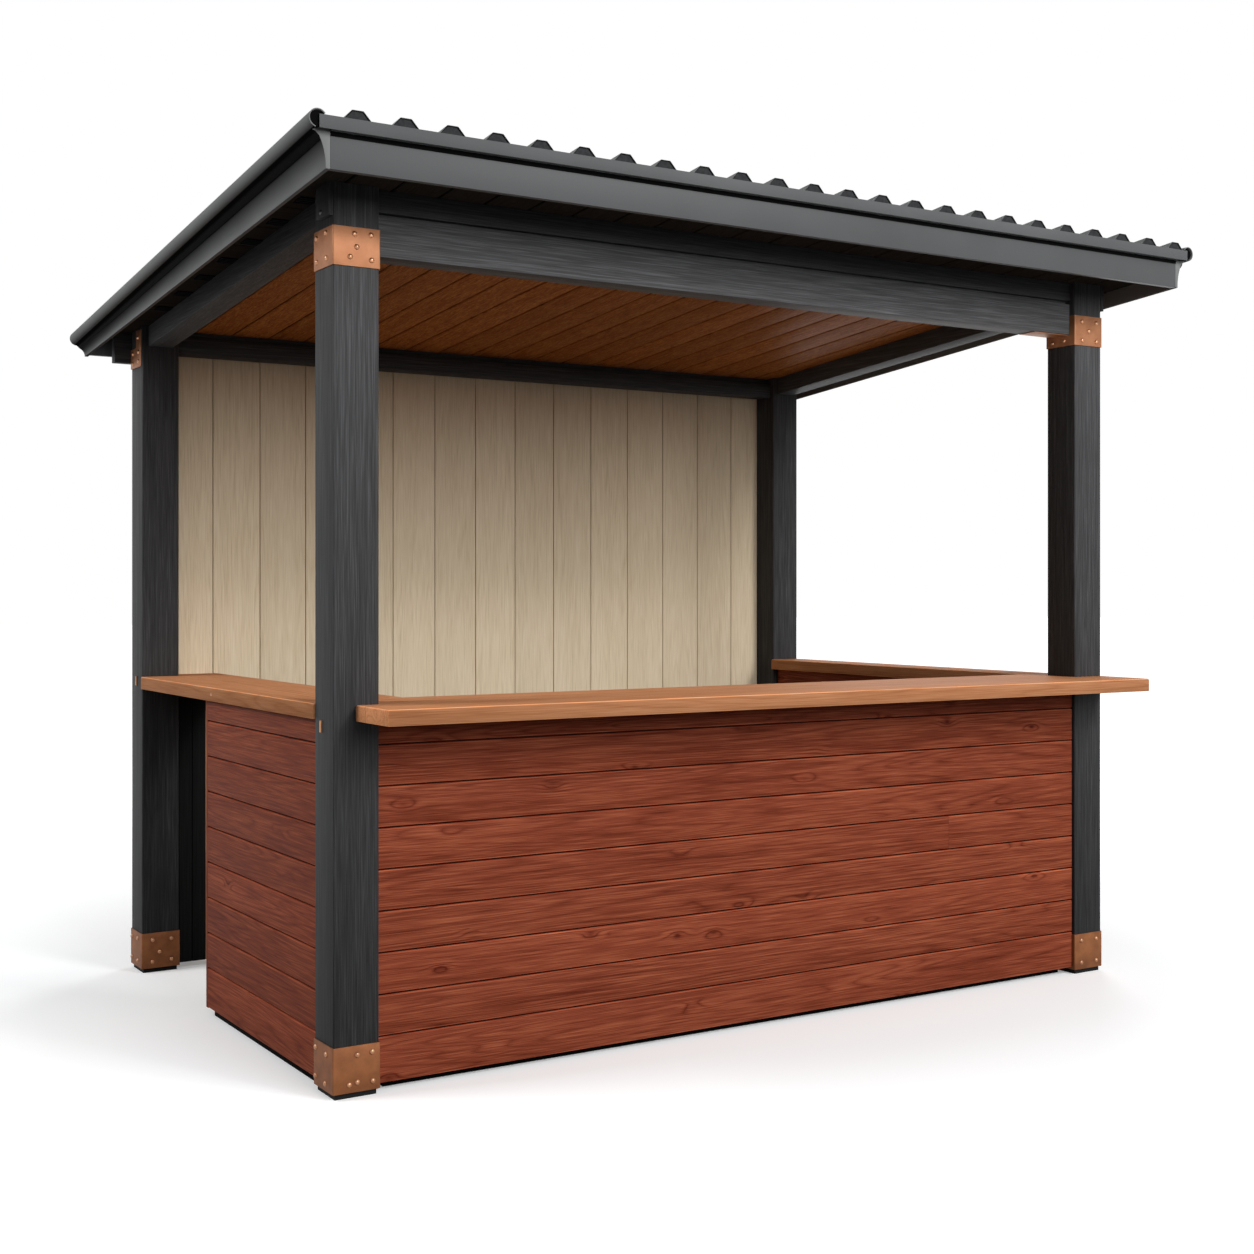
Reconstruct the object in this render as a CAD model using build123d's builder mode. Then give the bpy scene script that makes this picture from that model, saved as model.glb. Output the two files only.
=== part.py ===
from build123d import *
import os
from math import hypot, sqrt

# Wooden market stall: four posts, a low-pitched ribbed roof, a boarded back wall,
# half walls with a timber counter on three sides, and a way in under the left counter.
# Millimetres. X runs along the front to the right, Y to the back, Z up.
# The origin is on the ground under the middle of the roof.

os.makedirs("parts", exist_ok=True)

# Plan
posts_width = 3000          # over the outer faces of the posts
posts_depth = 1945
post = 135
overhang_front = 270        # roof edge past the posts
overhang_back = 195
overhang_side = 177

# Ceiling and roof: the ceiling falls to the back, and the sheet falls a little more
ceiling_height = 2513       # underside of the ceiling boards at the front of the front posts
ceiling_fall = 0.086        # drop per millimetre towards the back
sheet_above_front = 74      # sheet's underside above the ceiling's, at the roof's front edge
sheet_above_back = 19
edge_below = 55             # lower edge of fascias and rakes, below the ceiling

# Posts and metalwork
pad_height = 16
pad_inset = 6
post_arris = 3
copper = 3                  # thickness of the copper shoes and collars
copper_bend = 4             # outside radius of their folded corners
shoe_height = 128
collar_height_front = 108
collar_drop_front = 227     # foot of the collar below the ceiling
collar_height_back = 72
collar_drop_back = 146
strap_width = 60
strap_height = 62
strap_setback = 10
cheek_thickness = 15        # blocks on the outer faces of the front posts
cheek_length = 90
cheek_depth = 93

# Beams
beam_setback = 22           # beam faces behind the post faces
beam_thickness = 90
front_beam_drop = 188       # underside of the front beam below the ceiling
front_beam_height = 111
shadow_gap = 12
shadow_gap_depth = 20
side_beam_depth = 73
back_beam_drop = 87
back_beam_step = 58         # height of the thicker lower part
back_beam_rebate = 22
ledger_depth = 110
ledger_thickness = 40
ledger_reach = 62           # past the outer faces of the posts

# Walls
wall_base = 22
wall_setback = 12
cladding = 20
wall_cavity = 60            # rails and studs between the boards
rail = 60
front_wall_bays = 5
left_wall_bays = 2
right_wall_bays = 3
course = 116
bottom_board = 132
narrowest_board = 29
groove = 6
groove_depth = 5
left_wall_length = 984
end_board = 18
back_wall_thickness = 16
back_boards = 15

# Counter
counter_height = 1080
counter_thickness = 45
counter_arris = 3
front_counter_reach = 220   # past the front faces of the posts
front_counter_depth = 460
front_counter_short = 65    # its left end, in from the left post's outer face
counter_proud = 6           # side counters past the posts' outer faces
left_counter_width = 325
right_counter_width = 153
gable_width = 100
gable_thickness = 20
gable_setback = 10
upright = 45

# Roof
ceiling_thickness = 12
ceiling_board = 143
soffit_board = 146
side_soffit_board = 216
purlin_width = 45
purlin_count = 11
fascia = 20
fascia_setback = 22
rake_width = 67
roll_radius = 25
roll_drop = 10              # roll centre below the sheet
roll_inset = 25             # roll centre in from the roof's side
curl = 3                    # wall of the roll's open front end
curl_start = -75            # degrees round the roll
curl_sweep = 185
cove_top = 46               # below the sheet
cove_top_width = 30
cove_foot = 12
cove_sagitta = 5
sheet_thickness = 1.2
rib_pitch = 136
rib_height = 24
rib_top = 32
rib_foot = 76
first_rib = 86              # from the sheet's left edge
sheet_play = 1              # between the sheet and each roll
flashing = 2
flashing_height = 35
flashing_end = 29           # ends in from the roof's sides

# Places worked out from the plan
roof_depth = posts_depth + overhang_front + overhang_back
roof_x = posts_width / 2 + overhang_side
roof_front = -roof_depth / 2
roof_back = roof_depth / 2
post_outer = posts_width / 2
post_inner = post_outer - post
front_post_front = roof_front + overhang_front
front_post_back = front_post_front + post
back_post_back = roof_back - overhang_back
back_post_front = back_post_back - post
rake_inner = roof_x - rake_width
counter_base = counter_height - counter_thickness
beam_front = front_post_front + beam_setback
beam_back = beam_front + beam_thickness
wall_thickness = 2 * cladding + wall_cavity
up = Vector(0, 0, 1)


def ceiling_under(y):
    return ceiling_height - ceiling_fall * (y - front_post_front)


def sheet_under(y):
    along = (y - roof_front) / roof_depth
    return ceiling_under(y) + sheet_above_front + (sheet_above_back - sheet_above_front) * along


def edge_under(y):
    return ceiling_under(y) - edge_below


def save(piece, name):
    piece.part.label = name
    export_step(piece.part, f"parts/{name}.step")


def slab(x0, x1, y0, y1, z0, z1):
    with BuildPart() as piece:
        with BuildSketch(Plane.XY.offset(z0)):
            with Locations(((x0 + x1) / 2, (y0 + y1) / 2)):
                Rectangle(x1 - x0, y1 - y0)
        extrude(amount=z1 - z0)
    return piece


def from_side(x0, x1, points):
    # a section drawn in Y and Z, run from x0 to x1
    with BuildPart() as piece:
        with BuildSketch(Plane.YZ.offset(x0)):
            with BuildLine():
                Polyline(*points, close=True)
            make_face()
        extrude(amount=x1 - x0)
    return piece


def down_the_fall(y0, y1, fall, points):
    # a section drawn in X and Z at y0, run back to y1 along the fall
    with BuildPart() as piece:
        with BuildSketch(Plane.XZ.offset(-y0)):
            with BuildLine():
                Polyline(*points, close=True)
            make_face()
        extrude(amount=(y1 - y0) * hypot(1, fall), dir=(0, 1, -fall))
    return piece


def tops(y0, y1, base):
    # side view of a member from a level base up to the ceiling boards
    return [(y0, base), (y1, base), (y1, ceiling_under(y1)), (y0, ceiling_under(y0))]


def course_lines(height):
    lines = []
    line = bottom_board
    while line < height - narrowest_board:
        lines.append(line)
        line += course
    return lines


def vee_edge(start, end, lines):
    # points along a grooved edge: each groove is a vee groove_depth deep
    points = [(0, start)]
    for line in lines:
        points += [(0, line - groove / 2), (groove_depth, line), (0, line + groove / 2)]
    return points + [(0, end)]


def boarded_wall(corner, into, length):
    # horizontal boards, from a lower corner of their face; `into` points away from the viewer
    height = counter_base - wall_base
    edge = vee_edge(0, height, course_lines(height))
    with BuildPart() as boards:
        with BuildSketch(Plane(corner, x_dir=into, z_dir=into.cross(up))):
            with BuildLine():
                Polyline(*edge, (cladding, height), (cladding, 0), close=True)
            make_face()
        extrude(amount=length)
    return boards


def wall_frame(corner, into, length, bays):
    # rails and studs in one ladder, between the outer and the inner boards
    height = counter_base - wall_base
    bay = (length - (bays + 1) * rail) / bays
    run = into.cross(up)
    middle = corner + run * (length / 2) + up * (height / 2)
    with BuildPart() as ladder:
        with BuildSketch(Plane(middle, x_dir=run, z_dir=into)):
            Rectangle(length, height)
            with GridLocations(bay + rail, 0, bays, 1):
                Rectangle(bay, height - 2 * rail, mode=Mode.SUBTRACT)
        extrude(amount=wall_cavity)
    return ladder


def half_wall(name, corner, into, length, bays):
    # outer boards, frame and inner boards, one behind the other
    inner_corner = corner + into * wall_thickness + into.cross(up) * length
    save(boarded_wall(corner, into, length), f"{name}_wall_cladding")
    save(wall_frame(corner + into * cladding, into, length, bays), f"{name}_wall_frame")
    save(boarded_wall(inner_corner, -into, length), f"{name}_wall_lining")


# Posts, with tops cut to the ceiling boards, on black pads
corners = {
    "front_left": (-post_outer, front_post_front),
    "front_right": (post_inner, front_post_front),
    "back_left": (-post_outer, back_post_front),
    "back_right": (post_inner, back_post_front),
}


def timber_post(x, y):
    with BuildPart() as timber:
        with BuildSketch(Plane.YZ.offset(x)):
            with BuildLine():
                Polyline(*tops(y, y + post, pad_height), close=True)
            make_face()
        extrude(amount=post)
        chamfer(timber.edges().filter_by(Axis.Z), post_arris)
    return timber


for place, (x, y) in corners.items():
    save(timber_post(x, y), f"post_{place}")

with BuildPart() as foot_pads:
    with BuildSketch():
        for x, y in corners.values():
            with Locations((x + post / 2, y + post / 2)):
                Rectangle(post - 2 * pad_inset, post - 2 * pad_inset)
    extrude(amount=pad_height)
save(foot_pads, "foot_pads")


def copper_sleeve(x, y, base, height):
    # square sleeve folded round a post
    with BuildPart() as sleeve:
        with BuildSketch(Plane.XY.offset(base)):
            with Locations((x + post / 2, y + post / 2)):
                RectangleRounded(post + 2 * copper, post + 2 * copper, copper_bend)
                Rectangle(post, post, mode=Mode.SUBTRACT)
        extrude(amount=height)
    return sleeve


def copper_angle(x, y, base):
    # plate on a back post's outer face and back, with a strap up its outer face
    plate_x = x - copper / 2 if x < 0 else x + post + copper / 2
    plate_depth = post + copper - strap_setback
    with BuildPart() as angle:
        with BuildSketch(Plane.XY.offset(base)):
            with Locations((plate_x, y + strap_setback + plate_depth / 2)):
                Rectangle(copper, plate_depth)
            with Locations((x + post / 2, y + post + copper / 2)):
                Rectangle(post, copper)
        extrude(amount=collar_height_back)
        with BuildSketch(Plane.XY.offset(base)):
            with Locations((plate_x, y + strap_setback + strap_width / 2)):
                Rectangle(copper, strap_width)
        extrude(amount=collar_height_back + strap_height)
    return angle


for place, (x, y) in corners.items():
    save(copper_sleeve(x, y, pad_height, shoe_height), f"base_shoe_{place}")
    if place.startswith("front"):
        collar_base = ceiling_under(y) - collar_drop_front
        collar = copper_sleeve(x, y, collar_base, collar_height_front)
    else:
        collar = copper_angle(x, y, ceiling_under(y) - collar_drop_back)
    save(collar, f"top_collar_{place}")

# Cheek blocks under the side soffits, on the outer faces of the front posts
cheek_foot = ceiling_under(front_post_front) - cheek_depth
cheek_back = front_post_front + cheek_length
with BuildPart() as post_cheeks:
    for start in (-post_outer - cheek_thickness, post_outer):
        with BuildSketch(Plane.YZ.offset(start)):
            with BuildLine():
                Polyline(*tops(front_post_front, cheek_back, cheek_foot), close=True)
            make_face()
        extrude(amount=cheek_thickness)
save(post_cheeks, "post_cheeks")

# Front beam with a shadow gap cut in its top, and the frieze that stands on it
beam_end = post_inner - copper
front_beam_base = ceiling_under(front_post_front) - front_beam_drop
gap_base = front_beam_base + front_beam_height
gap_top = gap_base + shadow_gap
front_beam = from_side(-beam_end, beam_end, [
    (beam_front, front_beam_base),
    (beam_back, front_beam_base),
    (beam_back, gap_top),
    (beam_front + shadow_gap_depth, gap_top),
    (beam_front + shadow_gap_depth, gap_base),
    (beam_front, gap_base),
])
save(front_beam, "front_beam")
save(from_side(-post_inner, post_inner, tops(beam_front, beam_back, gap_top)), "front_frieze")

# Side beams, which fall with the ceiling
side_beam_outer = post_outer - beam_setback
side_beam_inner = side_beam_outer - beam_thickness
side_beam_section = [
    (front_post_back, ceiling_under(front_post_back) - side_beam_depth),
    (back_post_front, ceiling_under(back_post_front) - side_beam_depth),
    (back_post_front, ceiling_under(back_post_front)),
    (front_post_back, ceiling_under(front_post_back)),
]
with BuildPart() as side_beams:
    for start in (-side_beam_outer, side_beam_inner):
        with BuildSketch(Plane.YZ.offset(start)):
            with BuildLine():
                Polyline(*side_beam_section, close=True)
            make_face()
        extrude(amount=beam_thickness)
save(side_beams, "side_beams")

# Back beam, thinner above its step, in front of the back wall
wall_face = back_post_back - back_wall_thickness
back_beam_front = back_post_front + beam_setback
rebate_front = back_beam_front + back_beam_rebate
back_beam_base = ceiling_under(back_post_front) - back_beam_drop
step_top = back_beam_base + back_beam_step
back_beam = from_side(-post_inner, post_inner, [
    (back_beam_front, back_beam_base),
    (wall_face, back_beam_base),
    (wall_face, ceiling_under(wall_face)),
    (rebate_front, ceiling_under(rebate_front)),
    (rebate_front, step_top),
    (back_beam_front, step_top),
])
save(back_beam, "back_beam")

ledger_front = back_post_back + copper
ledger_x = post_outer + ledger_reach
ledger_base = ceiling_under(ledger_front) - ledger_depth
ledger_section = tops(ledger_front, ledger_front + ledger_thickness, ledger_base)
save(from_side(-ledger_x, ledger_x, ledger_section), "back_ledger")

# Back wall of upright boards
back_board = 2 * beam_end / back_boards
with BuildPart() as back_wall:
    with BuildSketch(Plane.XY.offset(wall_base)):
        with Locations((0, wall_face + back_wall_thickness / 2)):
            Rectangle(2 * beam_end, back_wall_thickness)
        with Locations((0, wall_face)):
            with GridLocations(back_board, 0, back_boards - 1, 1):
                Polygon(
                    (-groove / 2, 0), (groove / 2, 0), (0, groove_depth),
                    align=None, mode=Mode.SUBTRACT,
                )
    extrude(amount=ceiling_under(back_post_back) - wall_base)
save(back_wall, "back_wall")

# Half walls, between the posts' copper shoes
front_wall_corner = Vector(-beam_end, front_post_front + wall_setback, wall_base)
half_wall("front", front_wall_corner, Vector(0, 1, 0), 2 * beam_end, front_wall_bays)

side_wall_outer = post_outer - wall_setback
side_wall_inner = side_wall_outer - wall_thickness
side_wall_front = front_post_back + copper
left_wall_back = side_wall_front + left_wall_length - end_board
left_wall_corner = Vector(-side_wall_outer, left_wall_back, wall_base)
left_wall_run = left_wall_back - side_wall_front
half_wall("left", left_wall_corner, Vector(1, 0, 0), left_wall_run, left_wall_bays)
left_end = slab(
    -side_wall_outer, -side_wall_inner,
    left_wall_back, left_wall_back + end_board,
    wall_base, counter_base,
)
save(left_end, "left_wall_end_board")

right_wall_back = back_post_front - copper
right_wall_corner = Vector(side_wall_outer, side_wall_front, wall_base)
right_wall_run = right_wall_back - side_wall_front
half_wall("right", right_wall_corner, Vector(-1, 0, 0), right_wall_run, right_wall_bays)

# Counter tops, notched round the posts
counter_x = post_outer + counter_proud
front_counter_front = front_post_front - front_counter_reach
front_counter_back = front_counter_front + front_counter_depth
left_counter_inner = counter_x - left_counter_width
right_counter_inner = counter_x - right_counter_width


def counter_top(points):
    with BuildPart() as top:
        with BuildSketch(Plane.XY.offset(counter_base)):
            with BuildLine():
                Polyline(*points, close=True)
            make_face()
        extrude(amount=counter_thickness)
        chamfer(top.faces().sort_by(Axis.Z)[-1].edges(), counter_arris)
    return top


counter_front = counter_top([
    (-post_outer + front_counter_short, front_counter_front),
    (counter_x, front_counter_front),
    (counter_x, front_post_front),
    (post_inner, front_post_front),
    (post_inner, front_post_back),
    (counter_x, front_post_back),
    (counter_x, front_counter_back),
    (-post_inner, front_counter_back),
    (-post_inner, front_post_front),
    (-post_outer + front_counter_short, front_post_front),
])
save(counter_front, "counter_front")

counter_left = counter_top([
    (-counter_x, front_post_back),
    (-post_inner, front_post_back),
    (-post_inner, front_counter_back),
    (-left_counter_inner, front_counter_back),
    (-left_counter_inner, wall_face),
    (-post_inner, wall_face),
    (-post_inner, back_post_front),
    (-counter_x, back_post_front),
])
save(counter_left, "counter_left")

counter_right = counter_top([
    (right_counter_inner, front_counter_back),
    (counter_x, front_counter_back),
    (counter_x, back_post_front),
    (right_counter_inner, back_post_front),
])
save(counter_right, "counter_right")

# Boarded gable and upright under the back end of the left counter
gable_front = back_post_front + gable_setback
gable_back = gable_front + gable_thickness
gable_end = -beam_end + gable_width
gable = slab(-beam_end, gable_end, gable_front, gable_back, wall_base, counter_base)
save(gable, "counter_gable")
upright_end = gable_end + upright
upright_back = gable_front + upright
support = slab(gable_end, upright_end, gable_front, upright_back, wall_base, counter_base)
save(support, "counter_upright")

# Ceiling and soffit boards lie on the posts and beams
ceiling_x = (side_beam_outer + side_beam_inner) / 2
ceiling_front = (beam_front + beam_back) / 2
ceiling_back = back_post_back
fascia_front_face = roof_front + fascia_setback
fascia_front_back = fascia_front_face + fascia
fascia_back_face = roof_back - fascia_setback
fascia_back_front = fascia_back_face - fascia


def boards_down_the_fall(half_width, y0, y1, board):
    # boards side by side across X, with a vee at each joint on the underside
    count = round(2 * half_width / board)
    width = 2 * half_width / count
    under = ceiling_under(y0)
    points = [(-half_width, under)]
    for joint in range(1, count):
        x = -half_width + joint * width
        points += [(x - groove / 2, under), (x, under + groove_depth), (x + groove / 2, under)]
    over = under + ceiling_thickness
    points += [(half_width, under), (half_width, over), (-half_width, over)]
    return down_the_fall(y0, y1, ceiling_fall, points)


save(boards_down_the_fall(ceiling_x, ceiling_front, ceiling_back, ceiling_board), "ceiling_boards")

front_soffit = boards_down_the_fall(rake_inner, fascia_front_back, ceiling_front, soffit_board)
back_soffit = boards_down_the_fall(rake_inner, ceiling_back, fascia_back_front, soffit_board)
with BuildPart() as soffit_ends:
    add(front_soffit.part)
    add(back_soffit.part)
save(soffit_ends, "soffit_ends")

side_soffit_count = round((ceiling_back - ceiling_front) / side_soffit_board)
side_soffit_width = (ceiling_back - ceiling_front) / side_soffit_count
side_soffit_section = [(ceiling_front, ceiling_under(ceiling_front))]
for joint in range(1, side_soffit_count):
    y = ceiling_front + joint * side_soffit_width
    side_soffit_section += [
        (y - groove, ceiling_under(y - groove)),
        (y, ceiling_under(y) + groove_depth),
        (y + groove, ceiling_under(y + groove)),
    ]
side_soffit_section += [
    (ceiling_back, ceiling_under(ceiling_back)),
    (ceiling_back, ceiling_under(ceiling_back) + ceiling_thickness),
    (ceiling_front, ceiling_under(ceiling_front) + ceiling_thickness),
]
with BuildPart() as soffit_sides:
    for start in (-rake_inner, ceiling_x):
        with BuildSketch(Plane.YZ.offset(start)):
            with BuildLine():
                Polyline(*side_soffit_section, close=True)
            make_face()
        extrude(amount=rake_inner - ceiling_x)
save(soffit_sides, "soffit_sides")

# Purlins, each ripped to the wedge between the boards and the sheet
purlin_run = fascia_back_front - fascia_front_back - purlin_width
with BuildPart() as purlins:
    for number in range(purlin_count):
        y0 = fascia_front_back + purlin_run * number / (purlin_count - 1)
        y1 = y0 + purlin_width
        with BuildSketch(Plane.YZ.offset(-rake_inner)):
            with BuildLine():
                Polyline(
                    (y0, ceiling_under(y0) + ceiling_thickness),
                    (y1, ceiling_under(y1) + ceiling_thickness),
                    (y1, sheet_under(y1)),
                    (y0, sheet_under(y0)),
                    close=True,
                )
            make_face()
        extrude(amount=2 * rake_inner)
save(purlins, "purlins")

# Front and back fascia boards between the rakes
fascia_front = from_side(-rake_inner, rake_inner, [
    (fascia_front_face, edge_under(fascia_front_face)),
    (fascia_front_back, edge_under(fascia_front_face)),
    (fascia_front_back, sheet_under(fascia_front_back) - flashing),
    (fascia_front_face, sheet_under(fascia_front_face) - flashing),
])
save(fascia_front, "fascia_front")
fascia_back = from_side(-rake_inner, rake_inner, [
    (fascia_back_front, edge_under(fascia_back_face)),
    (fascia_back_face, edge_under(fascia_back_face)),
    (fascia_back_face, sheet_under(fascia_back_face)),
    (fascia_back_front, sheet_under(fascia_back_front)),
])
save(fascia_back, "fascia_back")

# Folded flashing along the front edge: a face, a return to the fascia and a leg under the sheet
flashing_back = roof_front + flashing
flashing_top = sheet_under(roof_front) + sheet_thickness
flashing_base = flashing_top - flashing_height
flashing_x = roof_x - flashing_end
flashing_section = [
    (roof_front, flashing_base),
    (fascia_front_face, flashing_base),
    (fascia_front_face, flashing_base + flashing),
    (flashing_back, flashing_base + flashing),
    (flashing_back, sheet_under(flashing_back) - flashing),
    (fascia_front_back, sheet_under(fascia_front_back) - flashing),
    (fascia_front_back, sheet_under(fascia_front_back)),
    (flashing_back, sheet_under(flashing_back)),
    (flashing_back, flashing_top),
    (roof_front, flashing_top),
]
with BuildPart() as front_flashing:
    with BuildSketch(Plane.YZ.offset(-rake_inner)):
        with BuildLine():
            Polyline(*flashing_section, close=True)
        make_face()
    extrude(amount=2 * rake_inner)
    with BuildSketch(Plane.XZ.offset(-flashing_back)):
        with Locations((0, flashing_top - flashing_height / 2)):
            Rectangle(2 * flashing_x, flashing_height)
    extrude(amount=flashing)
save(front_flashing, "front_flashing")

# Ribbed roof sheet, which bears on the purlins and on each rake as far as its roll
roll_x = roof_x - roll_inset
shoulder_x = roll_x - sqrt(roll_radius ** 2 - roll_drop ** 2)
sheet_x = shoulder_x - sheet_play
rib_count = int((2 * sheet_x - first_rib - rib_foot / 2) // rib_pitch) + 1
sheet_fall = (sheet_under(roof_front) - sheet_under(roof_back)) / roof_depth
sheet_line = [(-sheet_x, 0)]
for number in range(rib_count):
    centre = -sheet_x + first_rib + number * rib_pitch
    sheet_line += [
        (centre - rib_foot / 2, 0),
        (centre - rib_top / 2, rib_height),
        (centre + rib_top / 2, rib_height),
        (centre + rib_foot / 2, 0),
    ]
sheet_line.append((sheet_x, 0))
sheet_start = sheet_under(flashing_back)
lower = [(x, sheet_start + z) for x, z in sheet_line]
upper = [(x, sheet_start + z + sheet_thickness) for x, z in reversed(sheet_line)]
save(down_the_fall(flashing_back, roof_back, sheet_fall, lower + upper), "roof_sheet")


def rake_section(y):
    # edge board with a rolled top and a cove, which tapers with the two falls
    top = sheet_under(y)
    foot = edge_under(y)
    roll_z = top - roll_drop
    shoulder = (shoulder_x, top)
    roll_side = (roll_x + roll_radius, roll_z)
    roll_foot = (roll_x, roll_z - roll_radius)
    cove_head = (rake_inner + cove_top_width, top - cove_top)
    cove_end = (rake_inner + cove_foot, foot)
    with BuildSketch(Plane.XZ.offset(-y)) as section:
        with BuildLine():
            Line((rake_inner, foot), (rake_inner, top))
            Line((rake_inner, top), shoulder)
            ThreePointArc(shoulder, roll_side, roll_foot)
            Line(roll_foot, cove_head)
            SagittaArc(cove_head, cove_end, -cove_sagitta)
            Line(cove_end, (rake_inner, foot))
        make_face()
    return section.sketch


def curl_section(y):
    # the roll's thin wall, where it runs on past the board and round the flashing's end
    centre = (roll_x, sheet_under(y) - roll_drop)
    with BuildSketch(Plane.XZ.offset(-y)) as section:
        with BuildLine():
            outside = CenterArc(centre, roll_radius, curl_start, curl_sweep)
            inside = CenterArc(centre, roll_radius - curl, curl_start, curl_sweep)
            Line(outside @ 0, inside @ 0)
            Line(outside @ 1, inside @ 1)
        make_face()
    return section.sketch


rake_ends = [rake_section(fascia_front_face), rake_section(roof_back)]
curl_ends = [curl_section(roof_front), curl_section(fascia_front_face)]
with BuildPart() as rake_right:
    loft(rake_ends)
    loft(curl_ends)
save(rake_right, "rake_right")
with BuildPart() as rake_left:
    mirror(rake_right.part, about=Plane.YZ)
save(rake_left, "rake_left")
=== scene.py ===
# %% [markdown]
# # A wooden market stall
# The carpenter's work is already done: posts, beams, walls, counter and roof come from the CAD
# model as solids at their real size. This lesson dresses them. It lays separate boards on the
# walls and the ceiling, puts rivets in the copper, sweeps a ribbed roof sheet, gives each
# surface its grain or sheen, and sets up a camera, a floor and soft light.
#
# Everything is in metres in the frame of the CAD model: X along the front, Y to the back wall,
# Z up, with the ground at zero.

# %% Load the frame
from math import cos, radians, sin

import bmesh
import bpy
from mathutils import Matrix, Vector


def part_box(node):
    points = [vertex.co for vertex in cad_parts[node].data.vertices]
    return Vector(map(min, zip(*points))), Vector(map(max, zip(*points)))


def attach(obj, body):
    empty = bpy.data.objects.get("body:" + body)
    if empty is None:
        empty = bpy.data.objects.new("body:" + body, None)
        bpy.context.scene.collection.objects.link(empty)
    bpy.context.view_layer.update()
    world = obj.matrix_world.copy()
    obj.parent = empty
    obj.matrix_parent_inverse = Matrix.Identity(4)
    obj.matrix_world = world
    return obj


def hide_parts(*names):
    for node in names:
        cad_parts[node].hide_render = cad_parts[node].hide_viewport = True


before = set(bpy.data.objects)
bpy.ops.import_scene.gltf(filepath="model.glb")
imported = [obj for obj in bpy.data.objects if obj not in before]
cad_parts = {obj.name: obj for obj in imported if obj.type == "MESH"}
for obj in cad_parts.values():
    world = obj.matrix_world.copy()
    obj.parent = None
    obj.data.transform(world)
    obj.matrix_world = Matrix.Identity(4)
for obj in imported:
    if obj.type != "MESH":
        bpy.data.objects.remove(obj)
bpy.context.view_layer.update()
print("CAD nodes:", len(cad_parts))

# %% [markdown]
# ## One function for every node
# Materials and Geometry Nodes are both trees of nodes whose sockets are joined. Writing them out
# with Blender's own calls takes three lines a node, which hides the idea. One small function adds
# a node, sets its options, and feeds its inputs with plain values or with other nodes' outputs.
# Sums come up most, so the name of an operation, such as MULTIPLY, stands for a math node.

# %% A helper for node trees
def feed(socket, value):
    """Join another node's output to an input, or give it a plain value."""
    if isinstance(value, bpy.types.NodeSocket):
        socket.id_data.links.new(value, socket)
    else:
        socket.default_value = value


def node_adder(tree):
    """The function that adds nodes to one tree."""
    def add(kind, *values, out=0, **options):
        """Add a node and return one output. A value that is a pair names its own input."""
        if kind.isupper():
            kind, options["operation"] = "ShaderNodeMath", kind
        node = tree.nodes.new(kind)
        for option, value in options.items():
            setattr(node, option, value)
        for place, value in enumerate(values):
            named = isinstance(value, tuple) and len(value) == 2
            socket, value = value if named else (place, value)
            feed(node.inputs[socket], value)
        return node.outputs[out]
    return add


print("node helper ready")

# %% [markdown]
# ## Colours
# Paint charts and photographs give colours as sRGB hex codes, but a shader wants linear light.
# One function turns the first into the second, so every colour below can be written as it looks.

# %% Colours from hex codes
def colour(code):
    channels = [int(code[start:start + 2], 16) / 255 for start in (0, 2, 4)]
    linear = [c / 12.92 if c <= 0.04045 else ((c + 0.055) / 1.055) ** 2.4 for c in channels]
    return (*linear, 1.0)


print("mid grey in linear light:", [round(c, 3) for c in colour("808080")])

# %% [markdown]
# Every material starts with a tree that already holds its shader. Its pattern is grey at first: a
# number between 0 and 1 at each point. A ramp turns that number into colour, by blending between
# a few codes at set positions.

# %% Helpers for materials
def new_material(name):
    """A material, the function that adds its nodes, and the inputs of its shader."""
    material = bpy.data.materials.new(name)
    material.use_nodes = True
    tree = material.node_tree
    return material, node_adder(tree), tree.nodes["Principled BSDF"].inputs


def ramp(add, pattern, *stops):
    """Turn a pattern into colour. stops are (position, code) pairs in order."""
    blend = add("ShaderNodeValToRGB", pattern)
    elements = blend.node.color_ramp.elements
    for element, (position, code) in ((elements[0], stops[0]), (elements[1], stops[-1])):
        element.position, element.color = position, colour(code)
    for position, code in stops[1:-1]:
        elements.new(position).color = colour(code)
    return blend


print("material helpers ready")

# %% [markdown]
# ## Timber
# A plain-sawn board cuts through the tree's rings at a slant, so the rings show as nested arches
# and long flowing lines, with finer fibres between them. An image of wood would repeat and need
# UV maps. Instead, smooth noise is stretched along the grain: wide noise gives the slow changes
# of colour, and narrow noise gives the fibres. The rings are contour lines of the wide noise,
# found by counting up and down through it again and again. Real fibres are a fraction of a
# millimetre wide and would be lost in a picture of a whole stall, so they are drawn 1.6 to 2.5 mm
# wide, which is as coarse as they need to be to show.
#
# A knot is where a branch began. The rings bend round it, so a Voronoi pattern, which is a
# scatter of points, raises the noise near some of its points and darkens their middles.
#
# Each board carries a number of its own in an attribute called `board`. It slides the pattern, so
# no two boards match, and makes each one a little lighter or darker. A number below zero marks the
# tongue behind an open joint, which is nearly black. A solid top has no attribute, so the number
# of a stave is worked out from its place across the top.
#
# The narrow rounded faces along a board's edges are painted paler, as a painted highlight where
# the edges catch the light. A second attribute says where: it is 1 on those faces, and the timber
# is paler there.

# %% Sizes of the timber patterns
AXES = {"X": 0, "Y": 1, "Z": 2}
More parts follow.
